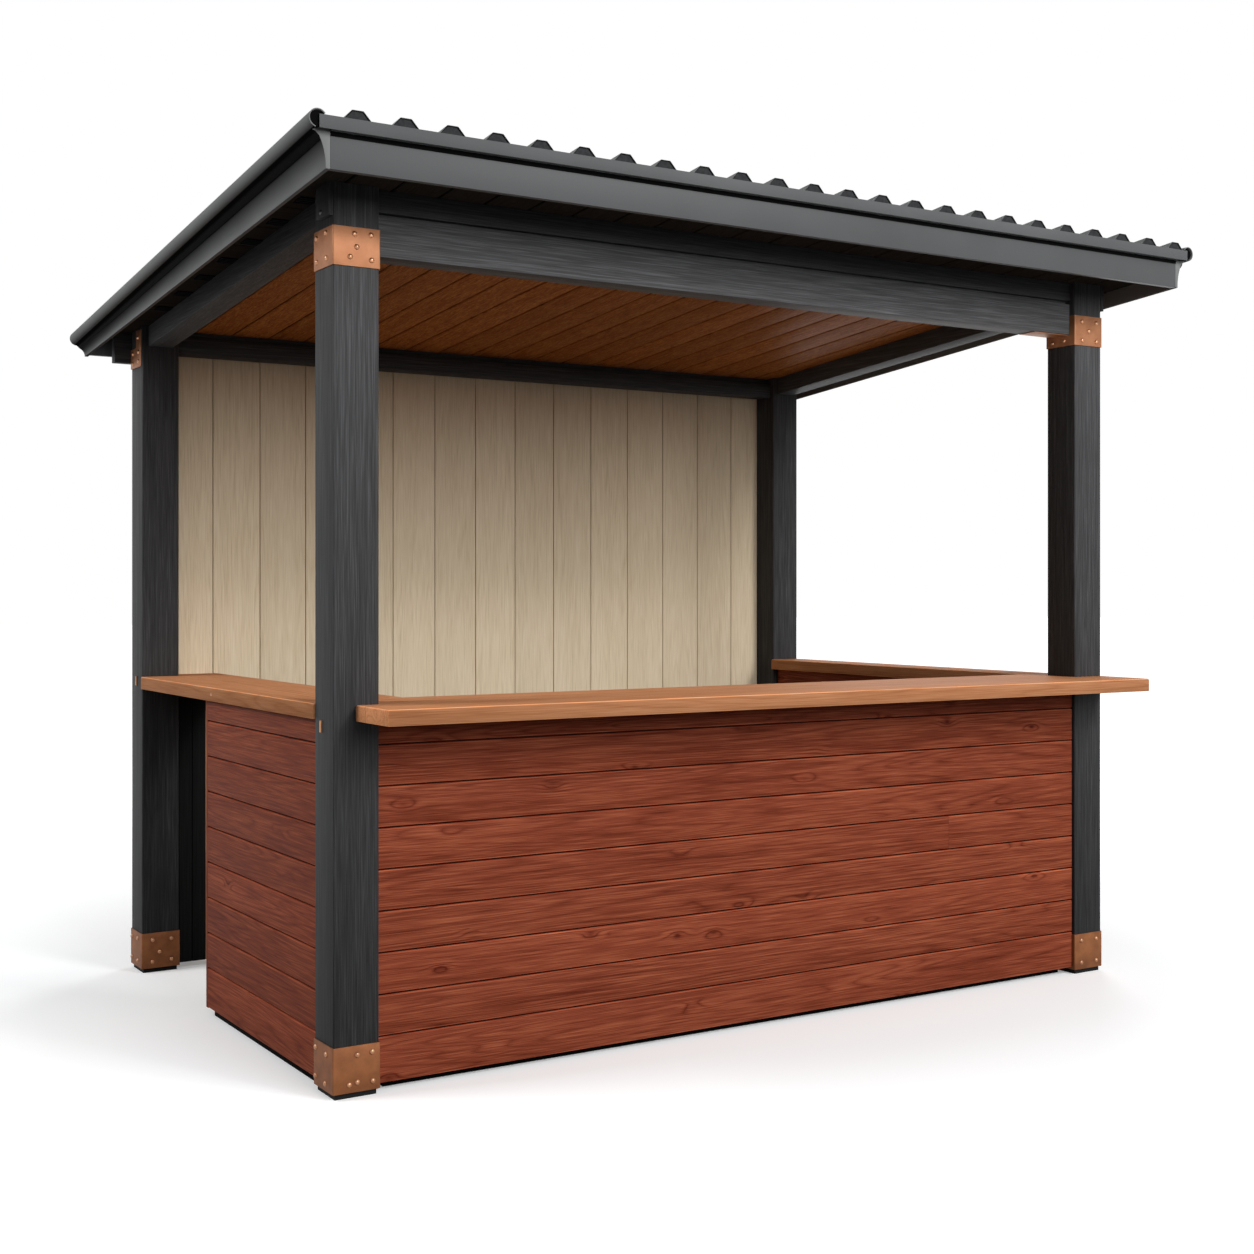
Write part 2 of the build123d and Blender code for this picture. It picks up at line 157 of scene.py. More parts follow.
# Noises: metres across the grain and along it, detail, distortion.
RING_NOISE = (0.08, 1.8, 1.0, 0.3)
TONE_NOISE = (0.008, 0.3, 3.0, 0.4)
SMUDGE_NOISE = (0.06, 0.6, 1.0, 0.5)
KNOT_SPACING = (0.1, 0.26)
KNOT_TIGHTNESS, KNOT_BEND, KNOT_DARK, KNOT_CONTRAST = 3.2, 4.0, 0.7, 1.2
HALF_SEAM, SEAM_DARK, TONGUE_DARK = 0.0012, 0.45, 0.8
BOARD_SLIDE, LIGHT_RISE_FROM, GRAIN_DEPTH = 31.0, 1.2, 0.0006


def stretch(along, across, reach):
    """Scale that makes a pattern `across` metres wide and `reach` metres long on one axis."""
    scale = [1 / across] * 3
    scale[AXES[along]] = 1 / reach
    return scale


print("scale of 2 mm fibres along X:", [round(part) for part in stretch("X", 0.002, 0.12)])


# %% Staves of a solid top
def stave_at(add, place, axis, start, width):
    """The number of the stave at each point, and a shade that darkens the joints."""
    across = add("ShaderNodeSeparateXYZ", (0, place), out=AXES[axis])
    steps = add("DIVIDE", add("SUBTRACT", across, start), width)
    number = add("ShaderNodeTexWhiteNoise", ("W", add("FLOOR", steps)), noise_dimensions="1D")
    from_middle = add("ABSOLUTE", add("SUBTRACT", add("FRACT", steps), 0.5))
    seam = add("GREATER_THAN", from_middle, 0.5 - HALF_SEAM / width)
    return number, add("SUBTRACT", 1.0, add("MULTIPLY", seam, SEAM_DARK))


print("open seam between staves:", 2 * HALF_SEAM)


# %% Timber material
def timber(name, along, dark, middle, light, tone=0.12, smudge=0.08, streak=0.4, ring=0.2,
           rings=14.0, knots=0.0, streak_width=0.0025, streak_reach=0.2, roughness=0.55, gloss=0.1,
           relief=0.3, board_tone=0.2, drying=0.0, highlight=0.0, staves=None):
    """Stained timber with the grain along one axis. staves is (axis, start, width) for a top."""
    material, add, shader = new_material(name)
    place = add("ShaderNodeTexCoord", out="Object")
    board = add("ShaderNodeAttribute", out="Fac", attribute_name="board")
    shade = 1.0
    if staves:
        board, shade = stave_at(add, place, *staves)
    slide = add("ShaderNodeCombineXYZ", board, board, board)
    slide = add("ShaderNodeVectorMath", slide, ("Scale", BOARD_SLIDE), operation="SCALE")
    place = add("ShaderNodeVectorMath", place, slide, operation="ADD")

    def stretched(across, reach):
        return add("ShaderNodeMapping", ("Vector", place), ("Scale", stretch(along, across, reach)))

    def grain(across, reach, detail, distortion):
        return add("ShaderNodeTexNoise", ("Vector", stretched(across, reach)), ("Scale", 1.0),
                   ("Detail", detail), ("Distortion", distortion))

    def swing(value, amount):
        """A noise value, centred on zero and scaled so that it swings by about `amount`."""
        return add("MULTIPLY", add("SUBTRACT", value, 0.5), amount * 3.0)

    flow = add("MULTIPLY", grain(*RING_NOISE), rings * 2)
    body, figure = 0.5, ring
    if knots:
        point = add("ShaderNodeTexVoronoi", ("Vector", stretched(*KNOT_SPACING)), ("Scale", 1.0))
        chosen = add("GREATER_THAN", point.node.outputs["Color"], 1.0 - knots)
        near = add("SUBTRACT", 1.0, add("MULTIPLY", point, KNOT_TIGHTNESS))
        near = add("MULTIPLY", add("MAXIMUM", near, 0.0), chosen)
        flow = add("ADD", flow, add("MULTIPLY", add("POWER", near, 2.0), KNOT_BEND))
        body = add("SUBTRACT", body, add("MULTIPLY", add("POWER", near, 5.0), KNOT_DARK))
        figure = add("MULTIPLY", add("ADD", add("MULTIPLY", near, KNOT_CONTRAST), 1.0), ring)
    latewood = add("POWER", add("PINGPONG", flow, 1.0), 3.0)
    fibres = grain(streak_width, streak_reach, 2.0, 0.1)
    for change in (swing(grain(*TONE_NOISE), tone), swing(grain(*SMUDGE_NOISE), smudge),
                   swing(fibres, streak)):
        body = add("ADD", body, change)
    body = add("SUBTRACT", body, add("MULTIPLY", add("SUBTRACT", latewood, 0.25), figure))

    behind = add("MULTIPLY", add("LESS_THAN", board, -0.5), TONGUE_DARK)
    board_shade = add("ADD", add("MULTIPLY", board, board_tone), 1.0 - board_tone / 2)
    shade = add("MULTIPLY", add("MULTIPLY", shade, board_shade), add("SUBTRACT", 1.0, behind))
    # Painted highlight: faces marked along the edges are painted paler where they catch the light.
    if highlight:
        highlit = add("ShaderNodeAttribute", out="Fac", attribute_name="highlit")
        shade = add("MULTIPLY", shade, add("ADD", add("MULTIPLY", highlit, highlight), 1.0))
    # Painted light: the timber is painted paler the higher it is, as if lit more from above.
    if drying:
        above_ground = add("ShaderNodeSeparateXYZ", (0, place), out=AXES["Z"])
        brighter = add("MULTIPLY", add("SUBTRACT", above_ground, LIGHT_RISE_FROM), drying)
        shade = add("MULTIPLY", shade, add("ADD", brighter, 1.0))
    stained = ramp(add, body, (0.1, dark), (0.5, middle), (0.9, light))
    height = add("SUBTRACT", fibres, add("MULTIPLY", latewood, 0.3))
    bump = add("ShaderNodeBump", ("Strength", relief), ("Distance", GRAIN_DEPTH),
               ("Height", height))
    stained = add("ShaderNodeVectorMath", stained, ("Scale", shade), operation="SCALE")
    feed(shader["Base Color"], stained)
    feed(shader["Roughness"], add("ADD", swing(fibres, 0.05), roughness))
    feed(shader["Specular IOR Level"], gloss)
    feed(shader["Normal"], bump)
    return material


print("timber recipe ready")

# %% [markdown]
# ## One finish, three directions
# A post's grain runs up, a beam's runs along it, and a board's follows its length, though all
# are stained the same. So each finish is written once, and the material for a direction is
# made the first time that it is asked for.
#
# A stain soaks in and leaves the surface dull, with the grain showing through its colour. Oil
# wets the wood, so it looks deeper and warmer. Lime wash is pale and chalky.

# %% Timber finishes
FINISHES = {
    "charcoal stain": dict(dark="272727", middle="3a3a3b", light="535355", tone=0.2, smudge=0.06,
                           streak=0.36, ring=0.09, streak_width=0.0016, streak_reach=0.12,
                           gloss=0.05, relief=0.4, board_tone=0.1),
    # Painted shade: the charcoal darkened to near black, for boards that stand in deep shade.
    "black stain": dict(dark="131313", middle="1c1c1c", light="262626", tone=0.1, streak=0.3,
                        ring=0.05, roughness=0.8, gloss=0.0, board_tone=0.1),
    "smoke stain": dict(dark="2a2826", middle="393633", light="494541", tone=0.1, streak=0.3,
                        ring=0.05, roughness=0.8, gloss=0.0, board_tone=0.15),
    "red-brown stain": dict(dark="4c1c10", middle="7a3a27", light="a65d40", tone=0.13, smudge=0.1,
                            streak=0.37, ring=0.2, rings=16.0, knots=0.4, streak_width=0.0018,
                            streak_reach=0.13, gloss=0.03, board_tone=0.22, highlight=0.5),
    "pale lime wash": dict(dark="c4b18f", middle="dfcdaf", light="ecdfc6", tone=0.06, streak=0.34,
                           ring=0.12, streak_width=0.0018, streak_reach=0.1, roughness=0.7,
                           gloss=0.03, board_tone=0.06),
    "warm oil": dict(dark="9c6340", middle="bb7f57", light="d19870", tone=0.14, smudge=0.1,
                     streak=0.3, ring=0.2, streak_width=0.0016, streak_reach=0.12, roughness=0.65,
                     gloss=0.02, relief=0.2, board_tone=0.12, highlight=0.8),
    "brown oil": dict(dark="6c3a18", middle="9a5c2c", light="bd7f45", tone=0.24, streak=0.5,
                      ring=0.16, streak_width=0.002, gloss=0.03, board_tone=0.25),
    "sawn softwood": dict(dark="a5825a", middle="c2a173", light="d6b98c", roughness=0.75,
                          relief=0.5),
}
# Painted light: how much paler each stain is painted per metre above 1.2 m, for posts, front beam
# and side beams.
POST_LIGHT_RISE, BEAM_LIGHT_RISE, SIDE_LIGHT_RISE = 0.35, 1.1, 0.6
made_finishes = {}


def finish(name, along, **changes):
    key = (name, along, *sorted(changes.items()))
    if key not in made_finishes:
        label = ", ".join((f"{name} along {along}", *changes))
        made_finishes[key] = timber(label, along, **{**FINISHES[name], **changes})
    return made_finishes[key]


print("timber finishes:", ", ".join(FINISHES))

# %% [markdown]
# ## Metal and rubber
# The copper plates are satin: rolled metal, handled and slightly darkened in soft clouds. The
# roof parts are steel with a factory coat, which has a faint mottle and a low sheen. Both are
# one recipe with different numbers: a base colour that drifts between two tones on large noise,
# and a roughness and a fine relief that follow smaller noise. The hollow under the roof's rolled
# edges is darkened as painted shade, where the roll would shade it. An attribute says where.
#
# Moulded rubber and cut foam use the same recipe without the metal: even, dull and nearly black.
# The fine relief is drawn about a millimetre wide, because a finer one wouldn't show.

# %% Metal and rubber materials
SPECKS, SPECK_DEPTH = 900.0, 0.0003


def sheet_metal(name, tone, darker, metallic, roughness, cloud=0.05, relief=0.1, gloss=0.5,
                shade_depth=0.0):
    """Rolled or coated metal, and rubber. cloud is the size in metres of the drifts in tone."""
    material, add, shader = new_material(name)
    place = add("ShaderNodeTexCoord", out="Object")
    clouds = add("ShaderNodeTexNoise", ("Vector", place), ("Scale", 1 / cloud), ("Detail", 3.0))
    specks = add("ShaderNodeTexNoise", ("Vector", place), ("Scale", SPECKS), ("Detail", 1.0))
    coat = ramp(add, clouds, (0.35, darker), (0.65, tone))
    # Painted shade: the coat is darkened where the roll would shade the cove.
    if shade_depth:
        roll_shade = add("ShaderNodeAttribute", out="Fac", attribute_name="roll_shade")
        unshaded = add("SUBTRACT", 1.0, add("MULTIPLY", roll_shade, shade_depth))
        coat = add("ShaderNodeVectorMath", coat, ("Scale", unshaded), operation="SCALE")
    bump = add("ShaderNodeBump", ("Strength", relief), ("Distance", SPECK_DEPTH),
               ("Height", specks))
    feed(shader["Base Color"], coat)
    feed(shader["Metallic"], metallic)
    feed(shader["Roughness"], add("ADD", add("MULTIPLY", clouds, 0.12), roughness - 0.06))
    feed(shader["Specular IOR Level"], gloss)
    feed(shader["Normal"], bump)
    return material


copper = sheet_metal("satin copper", "a26e4c", "925f3f", 0.45, 0.5, gloss=0.3)
# The base shoes get a darker copper than the collars.
foot_copper = sheet_metal("darker shoe copper", "8a5735", "74462a", 0.4, 0.55, gloss=0.2)
rivet_copper = sheet_metal("rivet copper", "bb8763", "96694b", 0.6, 0.3, cloud=0.02)
bronze = sheet_metal("bronze", "b08058", "8f6242", 0.9, 0.35, cloud=0.02)
dark_bronze = sheet_metal("dark bronze", "3a2a20", "2a1e17", 0.6, 0.5, cloud=0.02)
edge_coat = sheet_metal("grey edge coat", "4c4d4e", "474849", 0.0, 0.5, cloud=0.3, gloss=0.22)
roof_coat = sheet_metal("charcoal roof coat", "5a5b5c", "525354", 0.0, 0.55, cloud=0.4,
                        gloss=0.12)
# The rakes' grey is paler than the fascias' although both are one coat: painted light on the side
# faces. The cove below is painted shade.
rake_coat = sheet_metal("charcoal rake coat", "808181", "787979", 0.0, 0.6, cloud=0.3, gloss=0.0,
                        shade_depth=0.93)
dark_steel = sheet_metal("dark fixings", "3c3e40", "303234", 0.6, 0.45, cloud=0.02)
rubber = sheet_metal("black rubber", "1d1d1d", "161616", 0.0, 0.75, cloud=0.02, relief=0.4,
                     gloss=0.1)
# Near-black with no sheen, for the black strips, plugs and notches that stand in for shade: painted
# shade.
shade_black = sheet_metal("black for painted shade", "0c0c0c", "080808", 0.0, 0.8, cloud=0.02, gloss=0.02)
foam = sheet_metal("grey foam", "3a3b3c", "2f3031", 0.0, 0.85, cloud=0.01, relief=0.5, gloss=0.02)
print("metals and rubber ready")

# %% [markdown]
# ## Soft edges for sawn and folded pieces
# No real edge is perfectly sharp: a plane takes the arris off a post, and a folded plate has a
# small radius. Those edges catch the light and are most of what makes a beam look real. Each
# CAD mesh comes as loose triangles, so a copy is merged, its flat faces are joined up, and only
# then are its sharp edges rounded. The copy stands for the CAD node, which stays as it is.

# %% Helpers for finished pieces
BEND = radians(30)
EDGE_STEPS, SLANT = 2, 0.25


def own(piece, slot, *nodes):
    """Tie a finished piece to the stall, and to the CAD nodes that it stands for."""
    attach(piece, "root")
    if nodes:
        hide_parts(*nodes)
    return piece


def into_scene(name, data):
    """Make an object and put it in the scene."""
    thing = bpy.data.objects.new(name, data)
    bpy.context.scene.collection.objects.link(thing)
    return thing


def new_piece(name, mesh, material=None):
    piece = into_scene(name, mesh)
    if material:
        mesh.materials.clear()
        mesh.materials.append(material)
    mesh.shade_smooth()
    mesh.set_sharp_from_angle(angle=BEND)
    return piece


def mark_highlights(mesh, sides=0.0):
    """Store each face's painted highlight: 1 on slanted faces along edges, `sides` on upright ones.
    """
    highlit = mesh.attributes.new("highlit", "FLOAT", "FACE")
    for face, entry in zip(mesh.polygons, highlit.data):
        slanted = sorted(abs(part) for part in face.normal)[1] > SLANT
        entry.value = 1.0 if slanted else sides * (abs(face.normal.z) < SLANT)


def mesh_of(work, name):
    """End the work on a mesh and return it as a plain one."""
    mesh = bpy.data.meshes.new(name)
    work.to_mesh(mesh)
    work.free()
    return mesh


def round_off(work, edges, radius, steps):
    bmesh.ops.bevel(work, geom=edges, offset=radius, segments=steps, profile=0.5,
                    affect="EDGES", clamp_overlap=True)


def softened(node, radius, material, slot):
    """A copy of a CAD node with rounded edges."""
    work = bmesh.new()
    work.from_mesh(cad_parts[node].data)
    bmesh.ops.remove_doubles(work, verts=work.verts, dist=0.00002)
    bmesh.ops.dissolve_limit(work, angle_limit=radians(0.5), verts=work.verts, edges=work.edges)
    sharp = [e for e in work.edges if len(e.link_faces) == 2 and e.calc_face_angle() > BEND]
    round_off(work, sharp, radius, EDGE_STEPS)
    bmesh.ops.triangulate(work, faces=[f for f in work.faces if len(f.verts) > 4])
    mesh = mesh_of(work, node)
    stale = mesh.attributes.get("custom_normal")
    if stale:
        mesh.attributes.remove(stale)
    return own(new_piece(f"{node}_finished", mesh, material), slot, node)


print("piece helpers ready")

# %% Rounded copies of CAD pieces
PLACES = ("front_left", "front_right", "back_left", "back_right")
POST_EDGE, BEAM_EDGE, BOARD_EDGE, PLATE_EDGE = 0.0012, 0.002, 0.0015, 0.0007

for place in PLACES:
    post_stain = finish("charcoal stain", "Z", drying=POST_LIGHT_RISE)
    softened(f"post_{place}", POST_EDGE, post_stain, "charcoal_timber")
    softened(f"base_shoe_{place}", PLATE_EDGE, foot_copper, "copper_plate")
    softened(f"top_collar_{place}", PLATE_EDGE, copper, "copper_plate")
softened("post_cheeks", BOARD_EDGE, finish("charcoal stain", "Z"), "charcoal_timber")
for node, along, changes in (
        ("front_beam", "X", {"drying": BEAM_LIGHT_RISE}),
        ("front_frieze", "X", {}), ("back_beam", "X", {}), ("back_ledger", "X", {}),
        ("side_beams", "Y", {"drying": SIDE_LIGHT_RISE})):
    softened(node, BEAM_EDGE, finish("charcoal stain", along, **changes), "charcoal_timber")
softened("left_wall_end_board", BOARD_EDGE, finish("red-brown stain", "Z"), "wall_boards")
# Painted light: the upright's oil is painted paler than the ceiling's, where light reaches it.
painted_light_oil = finish("brown oil", "Z", dark="a06a3c", middle="c28d5c", light="d6a675")
softened("counter_upright", BOARD_EDGE, painted_light_oil, "ceiling_timber")

# %% [markdown]
# ## Counter tops
# Tops this deep are glued up from a few wide staves, and the photograph shows one long joint
# between them. The solid stays whole, and its material works out which stave a point is on.
# The front top's staves run along X and the side tops' along Y. The front and side faces are
# painted paler than the top, as painted light, and the rounded arris between them palest of all,
# as a painted highlight.

# %% Counter tops with staves
# Painted light: a counter's upright faces get this share of the edges' painted highlight.
COUNTER_EDGE, SIDE_HIGHLIGHT = 0.004, 0.55


def counter(node, along, across, parts):
    low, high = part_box(node)
    start, end = low[AXES[across]], high[AXES[across]]
    staves = (across, start, (end - start) / parts)
    oiled = timber(f"warm oil on {node}", along, **FINISHES["warm oil"], staves=staves)
    top = softened(node, COUNTER_EDGE, oiled, "counter_timber")
    mark_highlights(top.data, sides=SIDE_HIGHLIGHT)


counter("counter_front", "X", "Y", 3)
counter("counter_left", "Y", "X", 2)
counter("counter_right", "Y", "X", 1)
print("counter tops finished")

# %% [markdown]
# ## Fascias, rakes and flashing
# The roof's edges are coated: flat boards at the front and back, and at the sides a moulding with
# a rolled top over a cove. Their form is in the CAD solids, curves included, so they only get
# their edges rounded and their coat. The pads under the posts stay as they are.

# %% Roof edges and pads
FOLD_EDGE = 0.0006
for node in ("fascia_front", "fascia_back"):
    softened(node, BOARD_EDGE, edge_coat, "edge_boards")
rakes = [softened(node, FOLD_EDGE, rake_coat, "edge_boards")
         for node in ("rake_left", "rake_right")]
softened("front_flashing", FOLD_EDGE, roof_coat, "roof_metal")


def repaint(node, material):
    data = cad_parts[node].data
    data.materials.clear()
    data.materials.append(material)


repaint("foot_pads", rubber)
for node in ("front_wall_frame", "left_wall_frame", "right_wall_frame"):
    repaint(node, finish("sawn softwood", "Z"))
repaint("purlins", finish("sawn softwood", "X"))
print("roof edges and pads finished")

# %% [markdown]
# ## Running a tree
# Geometry Nodes suit whatever repeats. A tree is a modifier, though, and the finished stall is
# plain meshes, so each tree is run once: an object gets the modifier, its inputs are set, and
# the result is read back as a mesh. An input is set by its socket's identifier, because two
# inputs could share a name.

# %% Helpers for Geometry Nodes
KINDS = {"value": "NodeSocketFloat", "count": "NodeSocketInt", "material": "NodeSocketMaterial",
         "geometry": "NodeSocketGeometry"}


def new_tree(name, **inputs):
    tree = bpy.data.node_groups.new(name, "GeometryNodeTree")
    for label, kind in inputs.items():
        tree.interface.new_socket(name=label, in_out="INPUT", socket_type=KINDS[kind])
    tree.interface.new_socket(name="geometry", in_out="OUTPUT", socket_type=KINDS["geometry"])
    return tree, node_adder(tree), tree.nodes.new("NodeGroupInput").outputs


def close_tree(add, geometry, material):
    """End a tree the way the export needs it: real geometry with its material set."""
    real = add("GeometryNodeRealizeInstances", (0, geometry))
    painted = add("GeometryNodeSetMaterial", ("Geometry", real), ("Material", material))
    feed(painted.id_data.nodes.new("NodeGroupOutput").inputs[0], painted)


def grow(tree, base=None, **values):
    """Run a tree on a base mesh with these input values and return the plain mesh."""
    holder = into_scene("holder", base or bpy.data.meshes.new("base"))
    modifier = holder.modifiers.new("tree", "NODES")
    modifier.node_group = tree
    for item in tree.interface.items_tree:
        if item.in_out == "INPUT" and item.name in values:
            modifier[item.identifier] = values[item.name]
    graph = bpy.context.evaluated_depsgraph_get()
    mesh = bpy.data.meshes.new_from_object(
        holder.evaluated_get(graph), preserve_all_data_layers=True, depsgraph=graph)
    holder.modifiers.remove(modifier)
    bpy.data.objects.remove(holder)
    mesh.materials.clear()
    mesh.materials.append(values["material"])
    mesh.polygons.foreach_set("material_index", [0] * len(mesh.polygons))
    return mesh


def stand(mesh, corner, along, into, across):
    """Move a mesh from the origin: X goes along, Y goes into the wall, Z goes across the boards."""
    turn = Matrix((along, into, across)).transposed().to_4x4()
    turn.translation = corner
    mesh.transform(turn)
    return mesh


print("tree helpers ready")

# %% [markdown]
# ## Boards
# All the walls and ceilings are rows of boards, so one tree makes them all. It builds a
# board by extruding a rectangle with rounded corners, stacks the boards with a narrow open
# joint, and puts a thin tongue behind the joints so that no light comes through. The first and
# the last board have widths of their own, because a wall is never a whole number of boards.
#
# One course may be pieced from two lengths, as a carpenter does to use up an offcut. Every board
# stores a random number in the `board` attribute for its material.

# %% Board tree
board_tree, add, given = new_tree(
    "board row", length="value", thickness="value", first="value", course="value",
    courses="count", total="value", joint="value", rounding="value", pieced="count",
    piece_at="value", seed="count", material="material")
UPRIGHT = (radians(90), 0.0, radians(90))
SPLICE, END_PLAY, TONGUE_SHARE = 0.0005, 0.001, 0.2


def one_board(length, width, start=0.0):
    """A board along X from `start`, centred on Z, with its face at Y = 0."""
    outline = add("GeometryNodeCurvePrimitiveQuadrilateral", ("Width", given["thickness"]),
                  ("Height", width), mode="RECTANGLE")
    rounded = add("GeometryNodeFilletCurve", ("Curve", outline), ("Count", 3),
                  ("Radius", given["rounding"]), mode="POLY")
    end = add("GeometryNodeFillCurve", ("Curve", rounded), mode="NGONS")
    end = add("GeometryNodeTransform", ("Geometry", end), ("Rotation", UPRIGHT),
              ("Translation",
               add("ShaderNodeCombineXYZ", start, add("DIVIDE", given["thickness"], 2.0), 0.0)))
    run = add("GeometryNodeExtrudeMesh", ("Mesh", end),
              ("Offset", add("ShaderNodeCombineXYZ", length)), ("Individual", False),
              ("Offset Scale", 1.0))
    start_cap = add("GeometryNodeFlipFaces", ("Mesh", end))
    closed = add("GeometryNodeJoinGeometry", (0, run))
    feed(closed.node.inputs[0], start_cap)
    return add("GeometryNodeMergeByDistance", ("Geometry", closed), ("Distance", 0.00001))


def row_of(geometry, points, seed_step, selection=True):
    placed = add("GeometryNodeInstanceOnPoints", ("Points", points), ("Instance", geometry),
                 ("Selection", selection))
    chance = add("FunctionNodeRandomValue", ("Seed", add("ADD", given["seed"], seed_step)),
                 data_type="FLOAT")
    number = [s for s in chance.node.outputs if s.enabled][0]
    return add("GeometryNodeStoreNamedAttribute", ("Geometry", placed), ("Name", "board"),
               ("Value", number), data_type="FLOAT", domain="INSTANCE")


def points_at(count, first_height, step):
    return add("GeometryNodeMeshLine", ("Count", count),
               ("Start Location", add("ShaderNodeCombineXYZ", ("Z", first_height))),
               ("Offset", add("ShaderNodeCombineXYZ", ("Z", step))), mode="OFFSET")


def less_joint(width):
    return add("SUBTRACT", width, given["joint"])


print("inputs of the board tree:", len(given) - 1)

# %% Rows of boards and the tongue behind them
length, total, first, course = [given[name] for name in ("length", "total", "first", "course")]
middle_points = points_at(given["courses"], add("ADD", first, add("DIVIDE", course, 2.0)), course)
is_pieced = add("COMPARE", add("GeometryNodeInputIndex"), given["pieced"])
is_pieced.node.inputs[2].default_value = 0.5
is_whole = add("SUBTRACT", 1.0, is_pieced)
left_run = add("MULTIPLY", length, given["piece_at"])
right_run = add("SUBTRACT", length, left_run)
last = add("SUBTRACT", add("SUBTRACT", total, first), add("MULTIPLY", course, given["courses"]))
rows = [
    row_of(one_board(length, less_joint(first)), points_at(1, add("DIVIDE", first, 2.0), 0.0), 1),
    row_of(one_board(length, less_joint(course)), middle_points, 2, is_whole),
    row_of(one_board(add("SUBTRACT", left_run, SPLICE), less_joint(course)), middle_points, 3,
           is_pieced),
    row_of(one_board(right_run, less_joint(course), left_run), middle_points, 4, is_pieced),
    row_of(one_board(length, less_joint(last)),
           points_at(1, add("SUBTRACT", total, add("DIVIDE", last, 2.0)), 0.0), 5),
]
tongue_size = add("ShaderNodeCombineXYZ", add("SUBTRACT", length, END_PLAY),
                  add("MULTIPLY", given["thickness"], TONGUE_SHARE), less_joint(total))
tongue_middle = add("ShaderNodeCombineXYZ", add("DIVIDE", length, 2.0),
                    add("DIVIDE", given["thickness"], 2.0), add("DIVIDE", total, 2.0))
tongue = add("GeometryNodeMeshCube", ("Size", tongue_size))
tongue = add("GeometryNodeTransform", ("Geometry", tongue), ("Translation", tongue_middle))
tongue = add("GeometryNodeStoreNamedAttribute", ("Geometry", tongue), ("Name", "board"),
             ("Value", -1.0), data_type="FLOAT", domain="POINT")
everything = add("GeometryNodeJoinGeometry", (0, tongue))
for row in rows:
    feed(everything.node.inputs[0], row)
close_tree(add, everything, given["material"])
print("board tree nodes:", len(board_tree.nodes))

# %% [markdown]
# ## Boards on the half walls
# Each wall face takes its size and place from the CAD node that it covers, so the two can't drift
# apart. A face is placed by three directions: along the boards, into the wall, and up. Taken in
# that order they must be right-handed, or the boards would come out inside out.

# %% Half walls
COURSE, BOTTOM_BOARD = 0.116, 0.132
OPEN_JOINT, ROUNDING = 0.0045, 0.0034
UP = Vector((0, 0, 1))


def corner_of(node, along, into, across):
    """The corner of a node's box that these three directions lead away from."""
    low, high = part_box(node)
    signs = [sum(axis[i] for axis in (along, into, across)) for i in range(3)]
    return Vector([low[i] if signs[i] > 0 else high[i] for i in range(3)])


def size_along(node, direction):
    low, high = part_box(node)
    return abs((high - low).dot(direction))


def half_wall(node, into, seed, pieced=-1, piece_at=0.5):
    into = Vector(into)
    along = into.cross(UP)
    total = size_along(node, UP)
    courses = int((total - BOTTOM_BOARD) / COURSE)
    axis = "X" if abs(along.x) > 0.5 else "Y"
    mesh = grow(
        board_tree, length=size_along(node, along), thickness=size_along(node, into),
        first=BOTTOM_BOARD, course=COURSE, courses=courses, total=total, joint=OPEN_JOINT,
        rounding=ROUNDING, pieced=pieced, piece_at=piece_at, seed=seed,
        material=finish("red-brown stain", axis))
    stand(mesh, corner_of(node, along, into, UP), along, into, UP)
    # Painted highlight: the boards' rounded edges are painted paler.
    mark_highlights(mesh)
    return own(new_piece(f"{node}_boards", mesh), "wall_boards", node)


half_wall("front_wall_cladding", (0, 1, 0), 3, pieced=3, piece_at=0.78)
half_wall("front_wall_lining", (0, -1, 0), 14)
half_wall("left_wall_cladding", (1, 0, 0), 25)
half_wall("left_wall_lining", (-1, 0, 0), 36)
half_wall("right_wall_cladding", (-1, 0, 0), 47)
half_wall("right_wall_lining", (1, 0, 0), 58)
print("half walls boarded")

# %% [markdown]
# ## Back wall and gable
# The same tree, turned: here the boards stand up, and the row runs from right to left, which keeps
# the three directions right-handed.

# %% Standing boards
STANDING_ROUNDING = 0.0015


def standing_boards(node, first, course, courses, stain, slot, seed, joint):
    along, into, across = UP, Vector((0, 1, 0)), Vector((-1, 0, 0))
    mesh = grow(
        board_tree, length=size_along(node, along), thickness=size_along(node, into),
        first=first, course=course, courses=courses, total=size_along(node, across), joint=joint,
        rounding=STANDING_ROUNDING, pieced=-1, piece_at=0.5, seed=seed,
        material=finish(stain, "Z"))
    stand(mesh, corner_of(node, along, into, across), along, into, across)
    return own(new_piece(f"{node}_boards", mesh), slot, node)


standing_boards("back_wall", first=0.148, course=0.1855, courses=13, stain="pale lime wash",
                slot="back_boards", seed=61, joint=0.003)
# The gable's boards take the near-black stain as painted shade.
standing_boards("counter_gable", first=0.05, course=0.05, courses=0, stain="black stain",
                slot="charcoal_timber", seed=72, joint=0.002)
print("standing boards placed")

# %% [markdown]
# ## Ceiling and soffits
# Under the roof the boards fall with it, by 86 mm in each metre. A slanted box can't be read
# from its corners alone, so the fall is named here, and the mesh is sheared instead of turned:
# its ends stay upright, as the carpenter cuts them.

# %% Boards under the roof
FALL = 0.086
CEILING_BOARD, SOFFIT_BOARD, SIDE_SOFFIT_BOARD = 0.143, 0.146, 0.216
CEILING_THICKNESS, CEILING_JOINT, CEILING_ROUNDING = 0.012, 0.0085, 0.003


